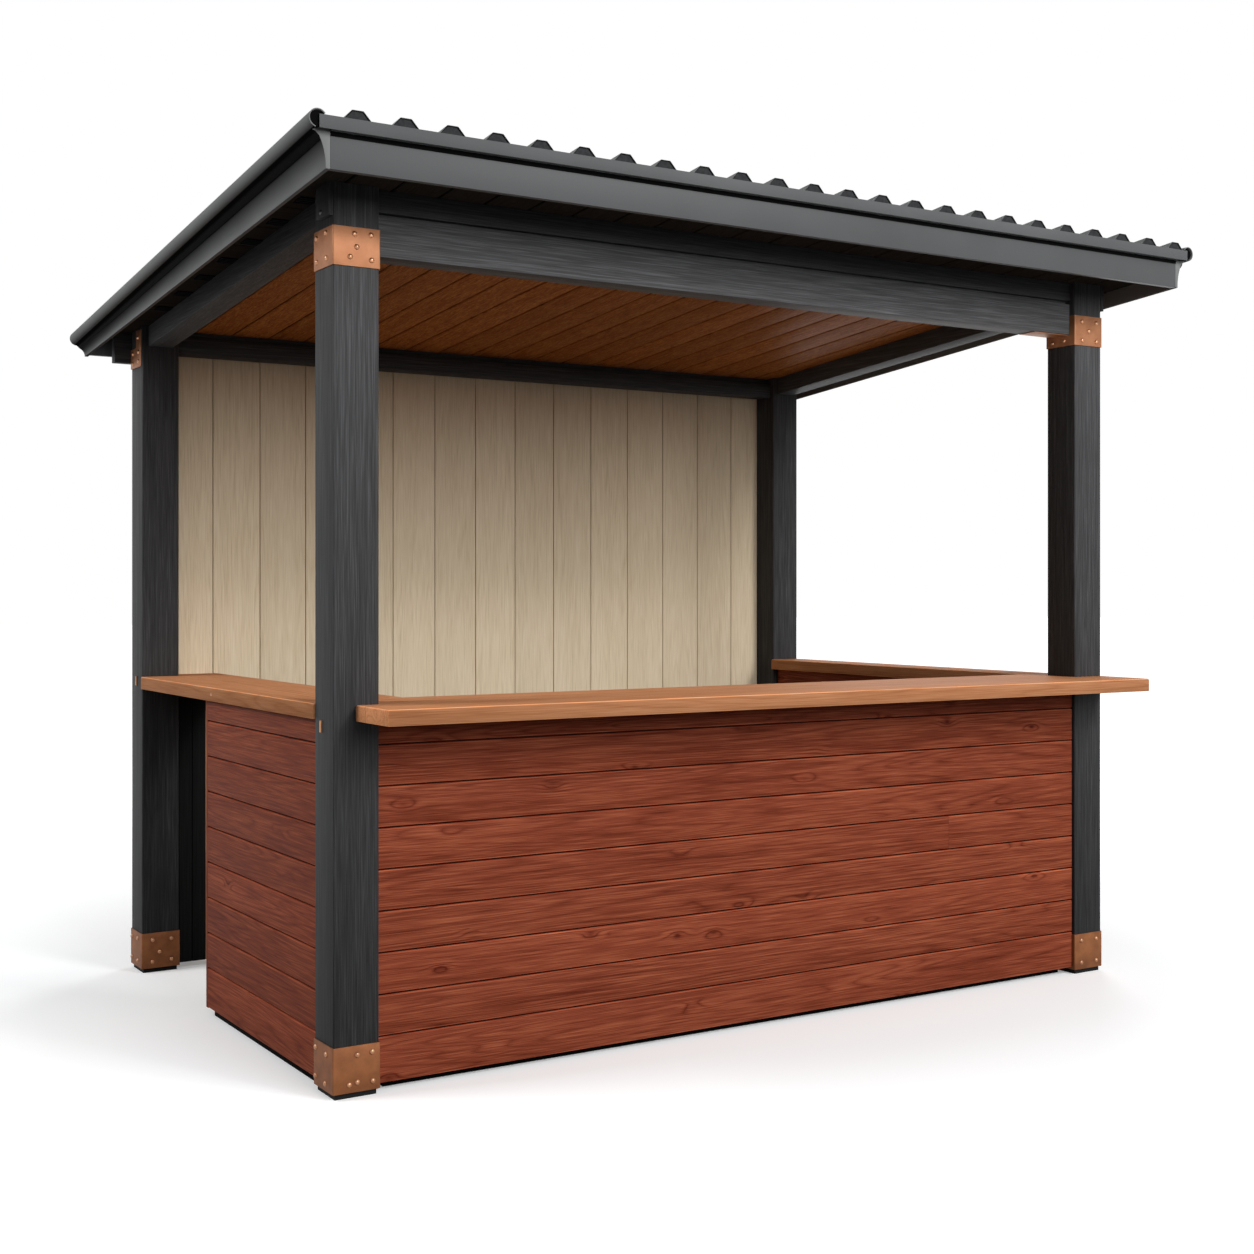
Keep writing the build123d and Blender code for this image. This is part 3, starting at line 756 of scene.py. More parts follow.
def sloping_boards(name, low, high, height, along, width, stain, seed):
    """Boards from low to high in plan, with the underside at `height` where Y is low."""
    down_fall, side = Vector((0, 1, -FALL)), Vector((1, 0, 0))
    run, across = (down_fall, side) if along == "Y" else (-side, down_fall)
    lengths = {"X": high[0] - low[0], "Y": high[1] - low[1]}
    other = "X" if along == "Y" else "Y"
    boards = round(lengths[other] / width)
    each = lengths[other] / boards
    mesh = grow(
        board_tree, length=lengths[along], thickness=CEILING_THICKNESS, first=each, course=each,
        courses=boards - 2, total=lengths[other], joint=CEILING_JOINT,
        rounding=CEILING_ROUNDING, pieced=-1, piece_at=0.5, seed=seed,
        material=finish(stain, along))
    start = Vector((low[0] if along == "Y" else high[0], low[1], height))
    stand(mesh, start, run, UP, across)
    return new_piece(name, mesh)


def joined(pieces, name):
    """Join several pieces in one mesh, because one CAD node holds them all."""
    work = bmesh.new()
    for piece in pieces:
        work.from_mesh(piece.data)
    material = pieces[0].data.materials[0]
    for piece in pieces:
        bpy.data.objects.remove(piece)
    return new_piece(name, mesh_of(work, name), material)


print("fall over the ceiling:", round(FALL * size_along("ceiling_boards", Vector((0, 1, 0))), 4))

# %% Ceiling and soffits
low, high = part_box("ceiling_boards")
ceiling = sloping_boards("ceiling_boards_laid", low, high, high.z - CEILING_THICKNESS, "Y",
                         CEILING_BOARD, "brown oil", 83)
own(ceiling, "ceiling_timber", "ceiling_boards")

end_low, end_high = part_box("soffit_ends")
front_height = end_high.z - CEILING_THICKNESS
back_height = front_height - FALL * (high.y - end_low.y)
end_soffits = [
    sloping_boards("end_soffit", start, end, height, "Y", SOFFIT_BOARD, "smoke stain", seed)
    for start, end, height, seed in (
        (end_low, (end_high.x, low.y), front_height, 94),
        ((end_low.x, high.y), end_high, back_height, 105))
]
own(joined(end_soffits, "soffit_ends_laid"), "charcoal_timber", "soffit_ends")

side_low, side_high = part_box("soffit_sides")
side_height = side_high.z - CEILING_THICKNESS
side_soffits = [
    sloping_boards("side_soffit", (x0, side_low.y), (x1, side_high.y), side_height, "X",
                   SIDE_SOFFIT_BOARD, "smoke stain", seed)
    for x0, x1, seed in ((side_low.x, low.x, 116), (high.x, side_high.x, 127))
]
own(joined(side_soffits, "soffit_sides_laid"), "charcoal_timber", "soffit_sides")
print("ceiling and soffits boarded")

# %% [markdown]
# ## Ribbed roof sheet
# A roll-formed sheet is one profile repeated and run down the slope, which is exactly a rule. The
# tree draws the profile as a line of points, four to a rib, and finds each point's place from
# its index. It fillets the bends, because steel folds round a roller, pushes the line down the
# fall to make the sheet, and thickens it.

# %% Roof sheet tree
sheet_tree, add, given = new_tree(
    "ribbed sheet", width="value", run="value", fall="value", ribs="count", first_rib="value",
    pitch="value", rib_height="value", rib_top="value", rib_foot="value", bend="value",
    gauge="value", material="material")
PER_RIB = 4.0

index = add("GeometryNodeInputIndex")
place = add("SUBTRACT", index, 1.0)
rib = add("FLOOR", add("DIVIDE", place, PER_RIB))
from_middle = add("SUBTRACT", add("SUBTRACT", place, add("MULTIPLY", rib, PER_RIB)), 1.5)
side = add("SIGN", from_middle)
is_top = add("LESS_THAN", add("ABSOLUTE", from_middle), 1.0)
half_foot, half_top = add("DIVIDE", given["rib_foot"], 2.0), add("DIVIDE", given["rib_top"], 2.0)
reach = add("ADD", half_foot, add("MULTIPLY", is_top, add("SUBTRACT", half_top, half_foot)))
centre = add("ADD", given["first_rib"], add("MULTIPLY", rib, given["pitch"]))
along_x = add("ADD", centre, add("MULTIPLY", side, reach))
along_x = add("MINIMUM", add("MAXIMUM", along_x, 0.0), given["width"])

last = add("ADD", add("MULTIPLY", given["ribs"], PER_RIB), 1.0)
before_last = add("SUBTRACT", last, 0.5)
is_rib = add("MULTIPLY", add("GREATER_THAN", index, 0.5), add("LESS_THAN", index, before_last))
is_last = add("GREATER_THAN", index, before_last)
along_x = add("ADD", add("MULTIPLY", is_rib, along_x), add("MULTIPLY", is_last, given["width"]))
up = add("MULTIPLY", add("MULTIPLY", is_top, is_rib), given["rib_height"])

line = add("GeometryNodeMeshLine", ("Count", add("ADD", last, 1.0)), mode="OFFSET")
line = add("GeometryNodeSetPosition", ("Geometry", line),
           ("Position", add("ShaderNodeCombineXYZ", along_x, 0.0, up)))
curve = add("GeometryNodeMeshToCurve", ("Mesh", line))
curve = add("GeometryNodeFilletCurve", ("Curve", curve), ("Count", 2), ("Radius", given["bend"]),
            mode="POLY")
profile = add("GeometryNodeCurveToMesh", ("Curve", curve))
drop = add("MULTIPLY", add("MULTIPLY", given["run"], given["fall"]), -1.0)
surface = add("GeometryNodeExtrudeMesh", ("Mesh", profile), ("Offset Scale", 1.0),
              ("Offset", add("ShaderNodeCombineXYZ", 0.0, given["run"], drop)), mode="EDGES")
lifted = add("GeometryNodeExtrudeMesh", ("Mesh", surface), ("Individual", False),
             ("Offset", add("ShaderNodeCombineXYZ", ("Z", given["gauge"]))), ("Offset Scale", 1.0))
closed = add("GeometryNodeJoinGeometry", (0, lifted))
feed(closed.node.inputs[0], add("GeometryNodeFlipFaces", ("Mesh", surface)))
closed = add("GeometryNodeMergeByDistance", ("Geometry", closed), ("Distance", 0.00001))
close_tree(add, closed, given["material"])
print("sheet tree nodes:", len(sheet_tree.nodes))

# %% [markdown]
# ## Laying the sheet
# The sheet takes its width, run and slope from the CAD node's box, and the profile's sizes
# are the same as the solid's. The direction that its faces point can't be seen in the tree, so the
# closed shell's normals are recalculated once it is a plain mesh.

# %% Roof sheet
GAUGE, RIB_HEIGHT, RIB_PITCH, FIRST_RIB = 0.0012, 0.024, 0.136, 0.086
RIB_TOP, RIB_FOOT, RIB_BEND = 0.032, 0.076, 0.004
low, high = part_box("roof_sheet")
run = high.y - low.y
drop = (high.z - low.z) - RIB_HEIGHT - GAUGE
ribs = int((high.x - low.x - FIRST_RIB) / RIB_PITCH) + 1
sheet_mesh = grow(
    sheet_tree, width=high.x - low.x, run=run, fall=drop / run, ribs=ribs, first_rib=FIRST_RIB,
    pitch=RIB_PITCH, rib_height=RIB_HEIGHT, rib_top=RIB_TOP, rib_foot=RIB_FOOT,
    bend=RIB_BEND, gauge=GAUGE, material=roof_coat)
sheet_front = high.z - RIB_HEIGHT - GAUGE
sheet_mesh.transform(Matrix.Translation((low.x, low.y, sheet_front)))
work = bmesh.new()
work.from_mesh(sheet_mesh)
bmesh.ops.recalc_face_normals(work, faces=work.faces)
work.to_mesh(sheet_mesh)
work.free()
own(new_piece("roof_sheet_rolled", sheet_mesh), "roof_metal", "roof_sheet")
print("roof sheet faces:", len(sheet_mesh.polygons))

# %% [markdown]
# ## Foam fillers
# Left open, the ribs' ends would let in birds and rain, so the roofer presses a strip of foam
# fillers in from the front. Each is the shape of the space under a rib, a little smaller, and
# set back a few millimetres, which leaves the steel's edge in front as a thin bright line.

# %% Foam fillers
SET_BACK, FILLER_DEPTH, PLAY = 0.004, 0.016, 0.0012
vertices, faces = [], []
for rib in range(ribs):
    centre = low.x + FIRST_RIB + rib * RIB_PITCH
    for y in (low.y + SET_BACK, low.y + SET_BACK + FILLER_DEPTH):
        foot = sheet_front - drop / run * (y - low.y)
        for half, z in ((RIB_FOOT / 2, foot), (RIB_TOP / 2, foot + RIB_HEIGHT - PLAY)):
            vertices += [(centre + side * (half - 2 * PLAY), y, z) for side in (-1, 1)]
    a, b, c, d, e, f, g, h = range(rib * 8, rib * 8 + 8)
    faces += [(a, b, d, c), (e, g, h, f), (a, e, f, b), (c, d, h, g), (a, c, g, e), (b, f, h, d)]
filler_mesh = bpy.data.meshes.new("rib_fillers")
filler_mesh.from_pydata(vertices, [], faces)
own(new_piece("rib_fillers", filler_mesh, foam), "pad_rubber")
print("fillers:", ribs)

# %% [markdown]
# ## Fixings on points
# Rivets, bolts and roof screws are all a small head repeated at known points, each turned to face
# outwards. The tree reads the points from a mesh of loose vertices, and the direction from an
# attribute on them. Two trees differ only in their head: a low dome for a rivet, and a hexagon on
# a round washer for a screw.

# %% Fixing trees
def fixing_tree(name, make_head):
    tree, add, given = new_tree(name, points="geometry", radius="value", height="value",
                                material="material")
    head = make_head(add, given["radius"], given["height"])
    outward = add("GeometryNodeInputNamedAttribute", ("Name", "outward"), data_type="FLOAT_VECTOR")
    facing = add("FunctionNodeAlignRotationToVector", ("Vector", outward), axis="Z")
    placed = add("GeometryNodeInstanceOnPoints", ("Points", given["points"]), ("Instance", head),
                 ("Rotation", facing))
    close_tree(add, placed, given["material"])
    return tree


def dome(add, radius, height):
    ball = add("GeometryNodeMeshUVSphere", ("Segments", 14), ("Rings", 8), ("Radius", 1.0))
    return add("GeometryNodeTransform", ("Geometry", ball),
               ("Scale", add("ShaderNodeCombineXYZ", radius, radius, height)))


def hexagon_on_washer(add, radius, height):
    washer = add("GeometryNodeMeshCylinder", ("Vertices", 12), ("Radius", radius),
                 ("Depth", add("MULTIPLY", height, 0.5)))
    hexagon = add("GeometryNodeMeshCylinder", ("Vertices", 6),
                  ("Radius", add("MULTIPLY", radius, 0.6)), ("Depth", height))
    hexagon = add("GeometryNodeTransform", ("Geometry", hexagon),
                  ("Translation", add("ShaderNodeCombineXYZ", ("Z", add("DIVIDE", height, 2.0)))))
    both = add("GeometryNodeJoinGeometry", (0, washer))
    feed(both.node.inputs[0], hexagon)
    return both


rivet_tree = fixing_tree("domed rivets", dome)
screw_tree = fixing_tree("hexagon screws", hexagon_on_washer)
# Each head's tree, radius and height.
HEADS = {"rivet": (rivet_tree, 0.008, 0.0055), "bolt": (rivet_tree, 0.007, 0.004),
         "plug": (rivet_tree, 0.006, 0.002), "screw": (screw_tree, 0.009, 0.005)}


def fixings(name, head, places, material, slot):
    """Put a kind of head at each place. places is a list of (point, outward direction)."""
    tree, radius, height = HEADS[head]
    base = bpy.data.meshes.new(name)
    base.from_pydata([point for point, _ in places], [], [])
    outward = base.attributes.new("outward", "FLOAT_VECTOR", "POINT")
    for entry, (_, direction) in zip(outward.data, places):
        entry.vector = direction
    mesh = grow(tree, base, radius=radius, height=height, material=material)
    return own(new_piece(name, mesh), slot)


print("fixing trees ready")

# %% [markdown]
# ## Rivets in the copper
# The smith didn't mark out the rivets: most plates have four in the corners, some have a fifth in
# the middle, and the front left ones wander. Each pattern is a list of places as fractions of a
# plate's face, from its left and from its foot as seen from outside. A face that a wall or a
# beam covers gets none where it is covered.

# %% Rivet patterns
FOUR = ((0.24, 0.81), (0.78, 0.81), (0.24, 0.19), (0.78, 0.19))
LOW_PAIR = ((0.22, 0.15), (0.62, 0.18))
RIVETS = {
    "base_shoe_front_left": {
        "front": ((0.51, 0.80), (0.82, 0.82), (0.34, 0.18), (0.51, 0.21), (0.835, 0.19)),
        "left": ((0.12, 0.83), (0.66, 0.80), (0.11, 0.20), (0.62, 0.16))},
    "base_shoe_front_right": {"front": FOUR, "right": FOUR},
    "base_shoe_back_left": {
        "front": ((0.28, 0.80), (0.77, 0.80), (0.46, 0.45), (0.28, 0.18), (0.77, 0.20)),
        "left": ((0.12, 0.78), (0.64, 0.82), (0.12, 0.20), (0.64, 0.18)), "back": FOUR},
    "base_shoe_back_right": {"right": FOUR, "back": FOUR},
    "top_collar_front_left": {
        "front": ((0.45, 0.83), (0.80, 0.84), (0.50, 0.50), (0.36, 0.235), (0.81, 0.20)),
        "left": ((0.16, 0.825), (0.65, 0.865), (0.175, 0.21), (0.67, 0.215)),
        "right": LOW_PAIR, "back": FOUR},
    "top_collar_front_right": {
        "front": ((0.26, 0.80), (0.79, 0.80), (0.51, 0.50), (0.27, 0.17), (0.79, 0.17)),
        "left": LOW_PAIR, "right": FOUR, "back": FOUR},
    "top_collar_back_left": {
        "left": ((0.20, 0.76), (0.72, 0.76), (0.20, 0.24), (0.72, 0.28), (0.66, 1.50)),
        "back": FOUR},
    "top_collar_back_right": {
        "right": ((0.28, 0.76), (0.80, 0.76), (0.28, 0.28), (0.80, 0.24), (0.34, 1.50)),
        "back": FOUR},
}
print("plates with rivets:", len(RIVETS))

# %% Rivets
SLEEVE, SHOE_HEIGHT = 0.141, 0.128
COLLAR_HEIGHTS = {"front": 0.108, "back": 0.072}
FACES = {"front": ((0, -1, 0), (1, 0, 0)), "left": ((-1, 0, 0), (0, -1, 0)),
         "right": ((1, 0, 0), (0, 1, 0)), "back": ((0, 1, 0), (-1, 0, 0))}


def rivets_on(node, patterns):
    _, kind, row, side = node.split("_")
    height = SHOE_HEIGHT if kind == "shoe" else COLLAR_HEIGHTS[row]
    post_low, post_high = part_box(f"post_{row}_{side}")
    middle = (post_low + post_high) / 2
    middle.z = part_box(node)[0].z
    places = []
    for face, pattern in patterns.items():
        outward, across = (Vector(direction) for direction in FACES[face])
        for right, up in pattern:
            aside = outward * SLEEVE / 2 + across * (right - 0.5) * SLEEVE
            places.append((middle + aside + UP * up * height, outward))
    return places


rivet_places = [place for node, patterns in RIVETS.items() for place in rivets_on(node, patterns)]
fixings("copper_rivets", "rivet", rivet_places, rivet_copper, "copper_plate")
print("rivets:", len(rivet_places))

# %% [markdown]
# ## Bolts, keepers and beam brackets
# A dark bolt head holds each cheek block, an upright bronze bar is let into the outer face of each
# left post beside the counter, a bronze plug hides a screw in the left counter's edge, and a thin
# copper angle carries the right end of the front beam. They are few and simple: low domes, and
# small blocks with rounded edges.

# %% A helper for small blocks
def blocks(name, boxes, radius, material, slot):
    """Rounded blocks, each given by its lowest and highest corner."""
    work = bmesh.new()
    for low, high in boxes:
        low, high = Vector(low), Vector(high)
        made = bmesh.ops.create_cube(work, size=1.0)["verts"]
        bmesh.ops.scale(work, verts=made, vec=high - low)
        bmesh.ops.translate(work, verts=made, vec=(low + high) / 2)
    round_off(work, work.edges[:], radius, steps=3)
    return own(new_piece(name, mesh_of(work, name), material), slot)


print("block helper ready")

# %% Bolts and a plug
BOLT_BACK, BOLT_UP, PLUG_BACK = 0.01, 0.016, 0.081
low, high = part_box("post_cheeks")
bolt_y, bolt_z = (low.y + high.y) / 2 + BOLT_BACK, low.z + BOLT_UP
bolt_places = [((x, bolt_y, bolt_z), (outward, 0, 0)) for x, outward in ((low.x, -1), (high.x, 1))]
fixings("cheek_bolts", "bolt", bolt_places, dark_steel, "copper_plate")

low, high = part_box("counter_left")
plug = (low.x, PLUG_BACK, (low.z + high.z) / 2)
fixings("counter_plug", "plug", [(plug, (-1, 0, 0))], bronze, "copper_plate")

print("bolts:", len(bolt_places))

# %% Keepers
KEEPERS = {"post_front_left": (0.075, 1.018), "post_back_left": (0.060, 1.062)}
KEEPER_PLATE, KEEPER_BAR = Vector((0.002, 0.024, 0.036)), Vector((0.005, 0.009, 0.033))
LET_IN = 0.0005
plates, bars = [], []
for node, (from_front, height) in KEEPERS.items():
    low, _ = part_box(node)
    middle = Vector((low.x, low.y + from_front + KEEPER_PLATE.y / 2, height))
    for boxes, size in ((plates, KEEPER_PLATE), (bars, KEEPER_BAR)):
        foot = middle - Vector((size.x - LET_IN, size.y / 2, size.z / 2))
        boxes.append((foot, foot + size))
blocks("keeper_plates", plates, 0.0005, dark_bronze, "copper_plate")
blocks("keeper_bars", bars, 0.0018, bronze, "copper_plate")

print("keepers:", len(bars))

# %% Beam bracket
BRACKET_REACH, BRACKET_INSET, PLATE = 0.17, 0.006, 0.003
low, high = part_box("front_beam")
bracket = ((high.x - BRACKET_REACH, low.y + BRACKET_INSET, low.z - PLATE),
           (high.x, high.y - BRACKET_INSET, low.z))
blocks("beam_bracket", [bracket], FOLD_EDGE, copper, "copper_plate")
print("bracket reaches", BRACKET_REACH, "m along the beam")

# %% [markdown]
# ## Black notches in the soffits
# Small black blocks let into each side soffit, close to the beam, show in the photograph as a row
# of dark notches. Their black is painted shade, standing in for the shadow in the notches. A
# notch is four louvres side by side, and the row follows the fall of the boards, so its height
# comes from the same rule as theirs.

# %% Black notches in the soffits
NOTCHES, FIRST_NOTCH, NOTCH_PITCH = 7, -0.775, 0.224
NOTCH_LENGTH, NOTCH_WIDTH, NOTCH_DEPTH, FROM_BEAM = 0.062, 0.052, 0.004, 0.002
LOUVRES, LOUVRE, LOUVRE_MIDDLE = 4, 0.011, 0.006
soffit_low, soffit_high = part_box("soffit_sides")
soffit_foot = soffit_high.z - CEILING_THICKNESS
beams_low, beams_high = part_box("side_beams")
louvres = []
for beam_side, outward in ((beams_low.x, -1), (beams_high.x, 1)):
    x0, x1 = sorted(beam_side + outward * reach for reach in (FROM_BEAM, FROM_BEAM + NOTCH_WIDTH))
    for notch in range(NOTCHES):
        y = FIRST_NOTCH + notch * NOTCH_PITCH
        under = soffit_foot - FALL * (y - soffit_low.y)
        for bar in range(LOUVRES):
            start = y + bar * NOTCH_LENGTH / LOUVRES
            top = under - FALL * (start + LOUVRE_MIDDLE - y)
            louvres.append(((x0, start, top - NOTCH_DEPTH), (x1, start + LOUVRE, top)))
# Painted shade: these black blocks stand in for dark, shadowy notches.
blocks("soffit_shade_notches", louvres, 0.0008, shade_black, "pad_rubber")
print("shade_notches:", 2 * NOTCHES)

# %% [markdown]
# ## Black strips under the half walls
# The half walls stop a finger's width above the ground, and the photograph shows a black line
# there. A black strip under each wall is painted shade, standing in for the shadow in that gap.
# It is set back behind the boards, so that only its upper part shows above the floor in front of
# it.

# %% Strips under the half walls
FOOT_SHADE_SHORT, FOOT_SHADE_CLEAR, FOOT_SHADE_PLAY = 0.03, 0.002, 0.0003
FOOT_SHADE_EDGES = {"front": -0.018, "left": 0.007, "right": 0.007}
foot_shades = []
for side, edge in FOOT_SHADE_EDGES.items():
    low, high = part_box(f"{side}_wall_frame")
    grown = (-FOOT_SHADE_SHORT, edge) if side == "front" else (edge, -FOOT_SHADE_SHORT)
    foot_shades.append(((low.x - grown[0], low.y - grown[1], FOOT_SHADE_CLEAR),
                  (high.x + grown[0], high.y + grown[1], low.z - FOOT_SHADE_PLAY)))
# Painted shade: black strips under the walls stand in for the shadow in the gap.
blocks("wall_foot_shade_strips", foot_shades, 0.001, shade_black, "pad_rubber")
print("sole strips:", len(foot_shades))

# %% [markdown]
# ## Painted shade in the coves
# The hollow below each roll is painted dark, as painted shade under the roll. An attribute on
# each corner is 1 at the top of the cove and falls to 0 at its foot, so the coat fades from nearly
# black to its own grey.

# %% Painted shade in the coves
SHADE_TOP = 0.034
COVE_BELOW, END_SLICE, FACES_SIDE, COVE_TOP, SHADE_REACH = 0.02, 0.01, 0.7, 1.02, 1.15
roof_low, roof_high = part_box("rake_right")


def roll_foot(y):
    """Height of the lowest point of the roll, above the hollow of the cove."""
    return sheet_front - drop / run * (y - roof_low.y) - SHADE_TOP


cove = [v.co for v in rakes[1].data.vertices if v.co.z < roll_foot(v.co.y) - COVE_BELOW]
cove_front, cove_back = min(spot.y for spot in cove), max(spot.y for spot in cove)
front_foot, back_foot = [min(spot.z for spot in cove if abs(spot.y - y) < END_SLICE)
                         for y in (cove_front, cove_back)]
for rake in rakes:
    mesh = rake.data
    # Painted shade: each corner of the cove stores how dark its coat is painted, 1 at the top and 0
    # at the foot.
    roll_shade = mesh.attributes.new("roll_shade", "FLOAT", "CORNER")
    for face in mesh.polygons:
        for corner in face.loop_indices:
            x, y, z = mesh.vertices[mesh.loops[corner].vertex_index].co
            along = (y - cove_front) / (cove_back - cove_front)
            foot = front_foot + (back_foot - front_foot) * along
            height = (z - foot) / (roll_foot(y) - foot)
            if abs(face.normal.y) < FACES_SIDE and height < COVE_TOP:
                roll_shade.data[corner].value = min(max(height, 0.0) * SHADE_REACH, 1.0)
print("cove height front and back:", round(roll_foot(cove_front) - front_foot, 4),
      round(roll_foot(cove_back) - back_foot, 4))

# %% [markdown]
# ## Painted shade and front corners of the roof
# A few small things finish the roof's edges. A black strip under the flashing shows as a dark
# line: it is painted shade, standing in for the shadow there. Another black strip fills the corner
# under each roll and follows the roof's fall, as painted shade under the roll, and a black plug in
# each roll's hollow end is painted shade inside the hollow. The roll's lip laps over the end of
# the flashing, so it is drawn as a short arc with a wall thickness.
#
# The black strips under the rolls and the lips are made in one way: a ring of corners is repeated
# along the piece, and each ring is joined to the next.

# %% Black strip under the flashing, painted shade
SHADOW_LINE_STRIP = Vector((0.0, 0.0025, 0.012))
fascia_low, fascia_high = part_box("fascia_front")
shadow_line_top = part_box("front_flashing")[0].z
strip_low = Vector((fascia_low.x, fascia_low.y, shadow_line_top)) - SHADOW_LINE_STRIP
strip_high = Vector((fascia_high.x, fascia_low.y, shadow_line_top))
# Painted shade: this black strip stands in for the shadow line under the flashing.
blocks("flashing_shadow_line", [(strip_low, strip_high)], 0.0005, shade_black, "pad_rubber")

print("foam strip length:", round(strip_high.x - strip_low.x, 3))

# %% Black strips, plugs and lips of the rolls
# The black strip's outline: how far in from the roll's middle, and how far down.
UNDER_ROLL_SHADE = ((0.001, 0.0), (0.006, 0.012), (0.012, 0.02), (0.014, 0.022), (0.028, 0.022), (0.028, 0.0))
SHADE_BACK_SHARE, SHADE_FRONT_PLAY, SHADE_BACK_PLAY = 0.57, 0.001, 0.002
ROLL_RADIUS, ROLL_WALL, ROLL_DROP = 0.025, 0.003, 0.010
PLUG_IN, PLUG_DEPTH, PLUG_TAPER, PLUG_SIDES = 0.011, 0.010, 0.002, 32
LIP_FROM, LIP_TO, LIP_STEPS, LIP_DEPTH = radians(105), radians(145), 8, 0.022
roll_front, roll_x = roof_low.y, roof_high.x - ROLL_RADIUS
roll_z, roll_inside = sheet_front - ROLL_DROP, ROLL_RADIUS - ROLL_WALL
shade_plugs, lips, under_roll_shades = bmesh.new(), bmesh.new(), bmesh.new()


def join_rings(work, rings):
    """Join each ring of corners to the next, and close both ends."""
    rings = [[work.verts.new(corner) for corner in ring] for ring in rings]
    for ring, following in zip(rings, rings[1:]):
        for corner in range(len(ring)):
            after = (corner + 1) % len(ring)
            work.faces.new((ring[corner], ring[after], following[after], following[corner]))
    work.faces.new(rings[0])
    work.faces.new(rings[-1])


for side in (-1, 1):
    # Painted shade: a black strip in the corner under each roll stands in for the shadow there.
    join_rings(under_roll_shades, [
        [(side * (roll_x - inset), y, roll_foot(y) - depth * share) for inset, depth in UNDER_ROLL_SHADE]
        for y, share in ((fascia_low.y + SHADE_FRONT_PLAY, 1.0),
                         (roof_high.y - SHADE_BACK_PLAY, SHADE_BACK_SHARE))])
    # Painted shade: a black plug in the roll's end stands in for the dark inside of the hollow.
    centre = Matrix.Translation((side * roll_x, roll_front + PLUG_IN, roll_z))
    bmesh.ops.create_cone(shade_plugs, cap_ends=True, segments=PLUG_SIDES, radius1=roll_inside,
                          radius2=roll_inside - PLUG_TAPER, depth=PLUG_DEPTH,
                          matrix=centre @ Matrix.Rotation(radians(90), 4, "X"))
    angles = [LIP_FROM + (LIP_TO - LIP_FROM) * step / LIP_STEPS for step in range(LIP_STEPS + 1)]
    join_rings(lips, [
        [(side * (roll_x + radius * cos(angle)), roll_front + y, roll_z + radius * sin(angle))
         for y, radius in ((0, ROLL_RADIUS), (0, roll_inside), (LIP_DEPTH, roll_inside),
                           (LIP_DEPTH, ROLL_RADIUS))]
        for angle in angles])
for name, work, material, slot in (("roll_shade_plugs", shade_plugs, shade_black, "pad_rubber"),
                                   ("roll_shade_strips", under_roll_shades, shade_black, "pad_rubber"),
                                   ("roll_lips", lips, rake_coat, "edge_boards")):
    bmesh.ops.recalc_face_normals(work, faces=work.faces)
    own(new_piece(name, mesh_of(work, name), material), slot)
print("roll centre:", round(roll_x, 4), round(roll_z, 4))

# %% [markdown]
# ## Roof screws
# Rib-fixed screws go through the top of the ribs into the purlins. Their rows are the purlins' own
# places, so every screw has timber under it. The row nearest the front edge is left out, as
# the flashing is fixed there.

# %% Roof screws
PURLINS, PURLIN_WIDTH = 11, 0.045
FIRST_ROW, EVERY_PURLIN, EVERY_RIB = 1, 3, 2
purlin_low, purlin_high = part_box("purlins")
spacing = (purlin_high.y - purlin_low.y - PURLIN_WIDTH) / (PURLINS - 1)
low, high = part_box("roof_sheet")
slope = drop / run
screw_places = []
for number in range(FIRST_ROW, PURLINS, EVERY_PURLIN):
    y = purlin_low.y + PURLIN_WIDTH / 2 + number * spacing
    z = high.z - slope * (y - low.y)
    for rib in range(0, ribs, EVERY_RIB):
        screw_places.append(((low.x + FIRST_RIB + rib * RIB_PITCH, y, z), (0, slope, 1)))
fixings("roof_screws", "screw", screw_places, roof_coat, "roof_metal")
print("roof screws:", len(screw_places))

# %% [markdown]
# ## Camera
# The photograph was taken at about eye height from the left front, with the camera level, which
# keeps the posts upright. Its place was found by fitting the stall's edges. The horizon is
# above the middle of the picture, so the lens is shifted down a little rather than tilted.

# %% Camera
lens = bpy.data.cameras.new("photograph")
lens.sensor_width = 36.0
lens.lens = 48.5
lens.shift_y = -0.0305
camera = into_scene("photograph", lens)
camera.location = (-3.271, -5.268, 1.400)
camera.rotation_euler = (radians(90), 0, radians(-32.09))
bpy.context.scene.camera = camera
print("camera at", tuple(camera.location))

# %% [markdown]
# ## Floor, sky and lamps
# A studio shot on white. The floor does two jobs that pull apart: the camera should see it white,
# and the stall should not be lit from below by a white sheet. The Light Path node tells
# the two apart. Rays from the camera meet a white floor, and light that bounces meets a grey one.
# Away from the stall the floor turns to plain white, so that no horizon shows, but close
# to it the lamps still light it, and so it keeps the stall's shadow.

# %% Floor
FLOOR_HALF, FLOOR_BOUNCED, FLOOR_SEEN = 60.0, "606060", "f2f4f5"
LIT_WITHIN, WHITE_BEYOND, OWN_LIGHT = 2.0, 6.0, 0.2


def seen_directly(add):
    """1 for rays that show the surface itself, and 0 for light that bounces off it."""
    path = add("ShaderNodeLightPath").node.outputs
    seen = add("MAXIMUM", path["Is Camera Ray"], path["Is Glossy Ray"])
    return add("MAXIMUM", seen, path["Is Transmission Ray"])


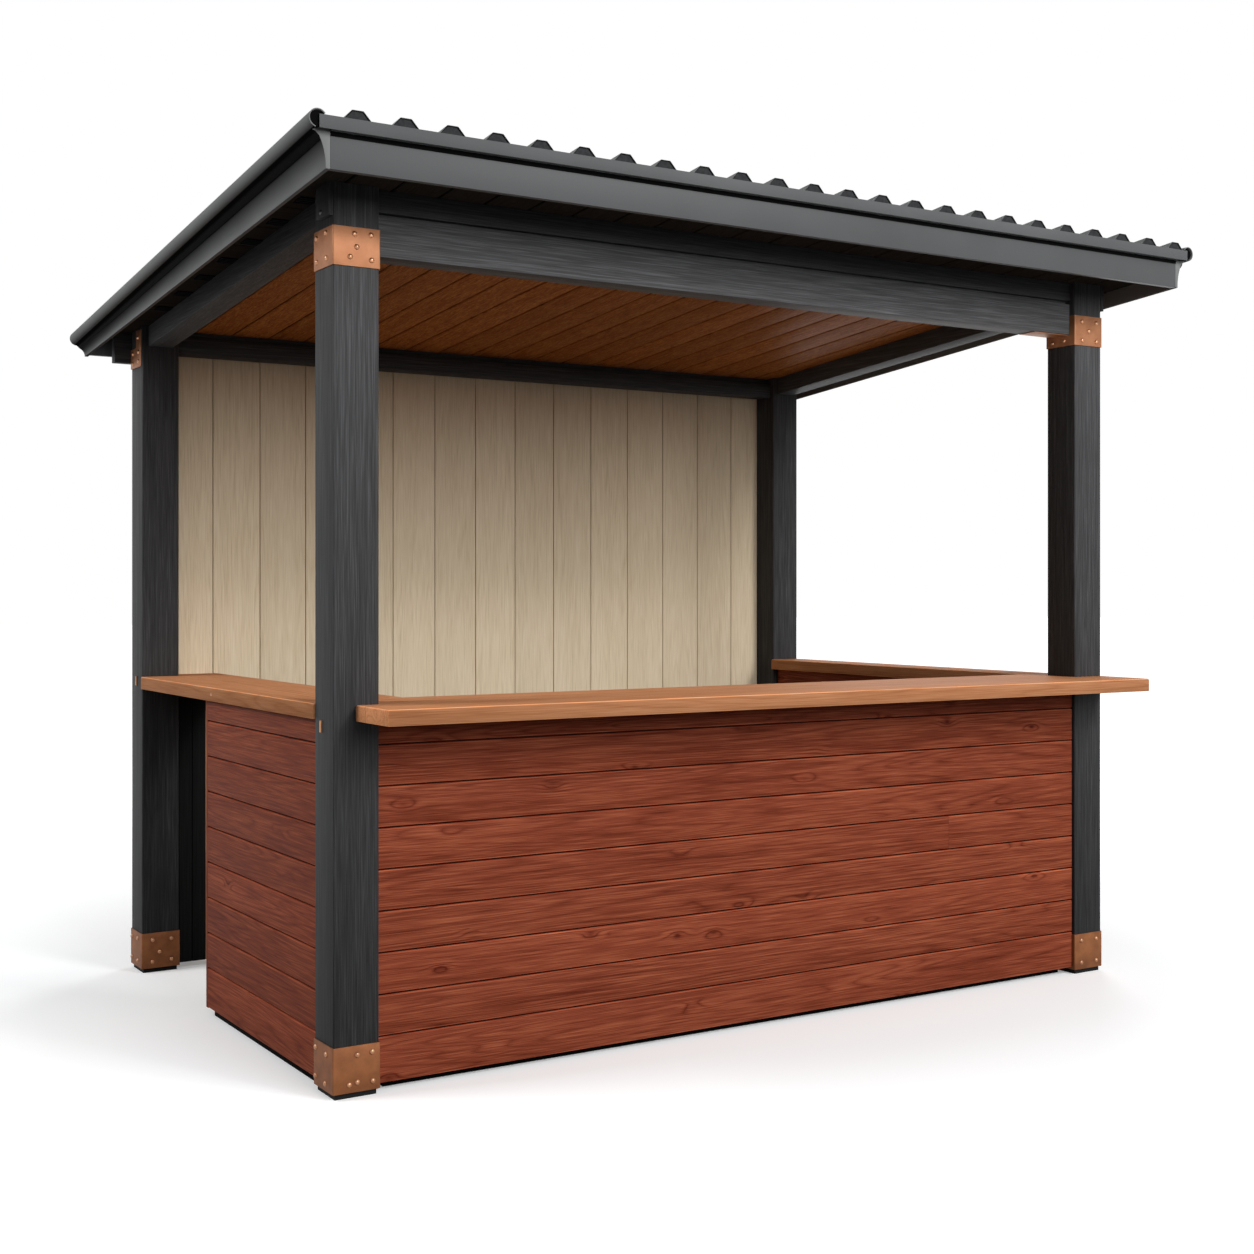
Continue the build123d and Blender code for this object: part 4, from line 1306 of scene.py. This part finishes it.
floor_material, add, shader = new_material("studio floor")
seen = seen_directly(add)
tint = add("ShaderNodeMix", (0, seen), (6, colour(FLOOR_BOUNCED)), (7, colour(FLOOR_SEEN)), out=2,
           data_type="RGBA")
spot = add("ShaderNodeTexCoord", out="Object")
distance = add("ShaderNodeVectorMath", (0, spot), out=1, operation="LENGTH")
lift = add("ShaderNodeMapRange", ("Value", distance), ("From Min", LIT_WITHIN),
           ("From Max", WHITE_BEYOND), ("To Min", OWN_LIGHT), ("To Max", 1.0))
feed(shader["Base Color"], tint)
feed(shader["Roughness"], 1.0)
feed(shader["Specular IOR Level"], 0.0)
feed(shader["Emission Color"], (1, 1, 1, 1))
feed(shader["Emission Strength"], add("MULTIPLY", seen, lift))
floor_mesh = bpy.data.meshes.new("studio_floor")
corners = [(x * FLOOR_HALF, y * FLOOR_HALF, 0) for x, y in ((-1, -1), (1, -1), (1, 1), (-1, 1))]
floor_mesh.from_pydata(corners, [], [(0, 1, 2, 3)])
floor_mesh.materials.append(floor_material)
floor = into_scene("studio_floor", floor_mesh)
print("floor laid")

# %% [markdown]
# The sky is the same: white to the camera and in reflections, dimmer as a source of light. A large
# lamp high on the right models the stall and throws its shadow to the left, and a low broad one
# in front reaches in under the roof to the back wall. Two weaker lamps keep the left side and
# the back from going dark.

# %% Sky and lamps
SKY_LEVEL = 0.3
world = bpy.data.worlds.new("studio sky")
world.use_nodes = True
bpy.context.scene.world = world
add = node_adder(world.node_tree)
background = world.node_tree.nodes["Background"].inputs
strength = add("ADD", add("MULTIPLY", seen_directly(add), 1.0 - SKY_LEVEL), SKY_LEVEL)
feed(background["Strength"], strength)
feed(background["Color"], (1, 1, 1, 1))


def soft_lamp(name, place, aim_height, size, power):
    """A square lamp aimed at the stall's middle, with its size in metres and power in watts."""
    lamp = bpy.data.lights.new(name, "AREA")
    lamp.shape, lamp.size, lamp.energy = "SQUARE", size, power
    holder = into_scene(name, lamp)
    holder.location = place
    aim = Vector((0, 0, aim_height)) - Vector(place)
    holder.rotation_euler = aim.to_track_quat("-Z", "Y").to_euler()


soft_lamp("high right lamp", (3.5, -9.0, 7.5), 1.0, 3.0, 480)
soft_lamp("far front lamp", (1.5, -14.0, 6.0), 1.2, 7.0, 1350)
soft_lamp("high left lamp", (-8.2, 1.5, 6.6), 1.0, 3.0, 430)
soft_lamp("back right lamp", (7.5, 7.0, 6.0), 1.0, 4.0, 350)
bpy.context.scene.view_settings.view_transform = "Standard"
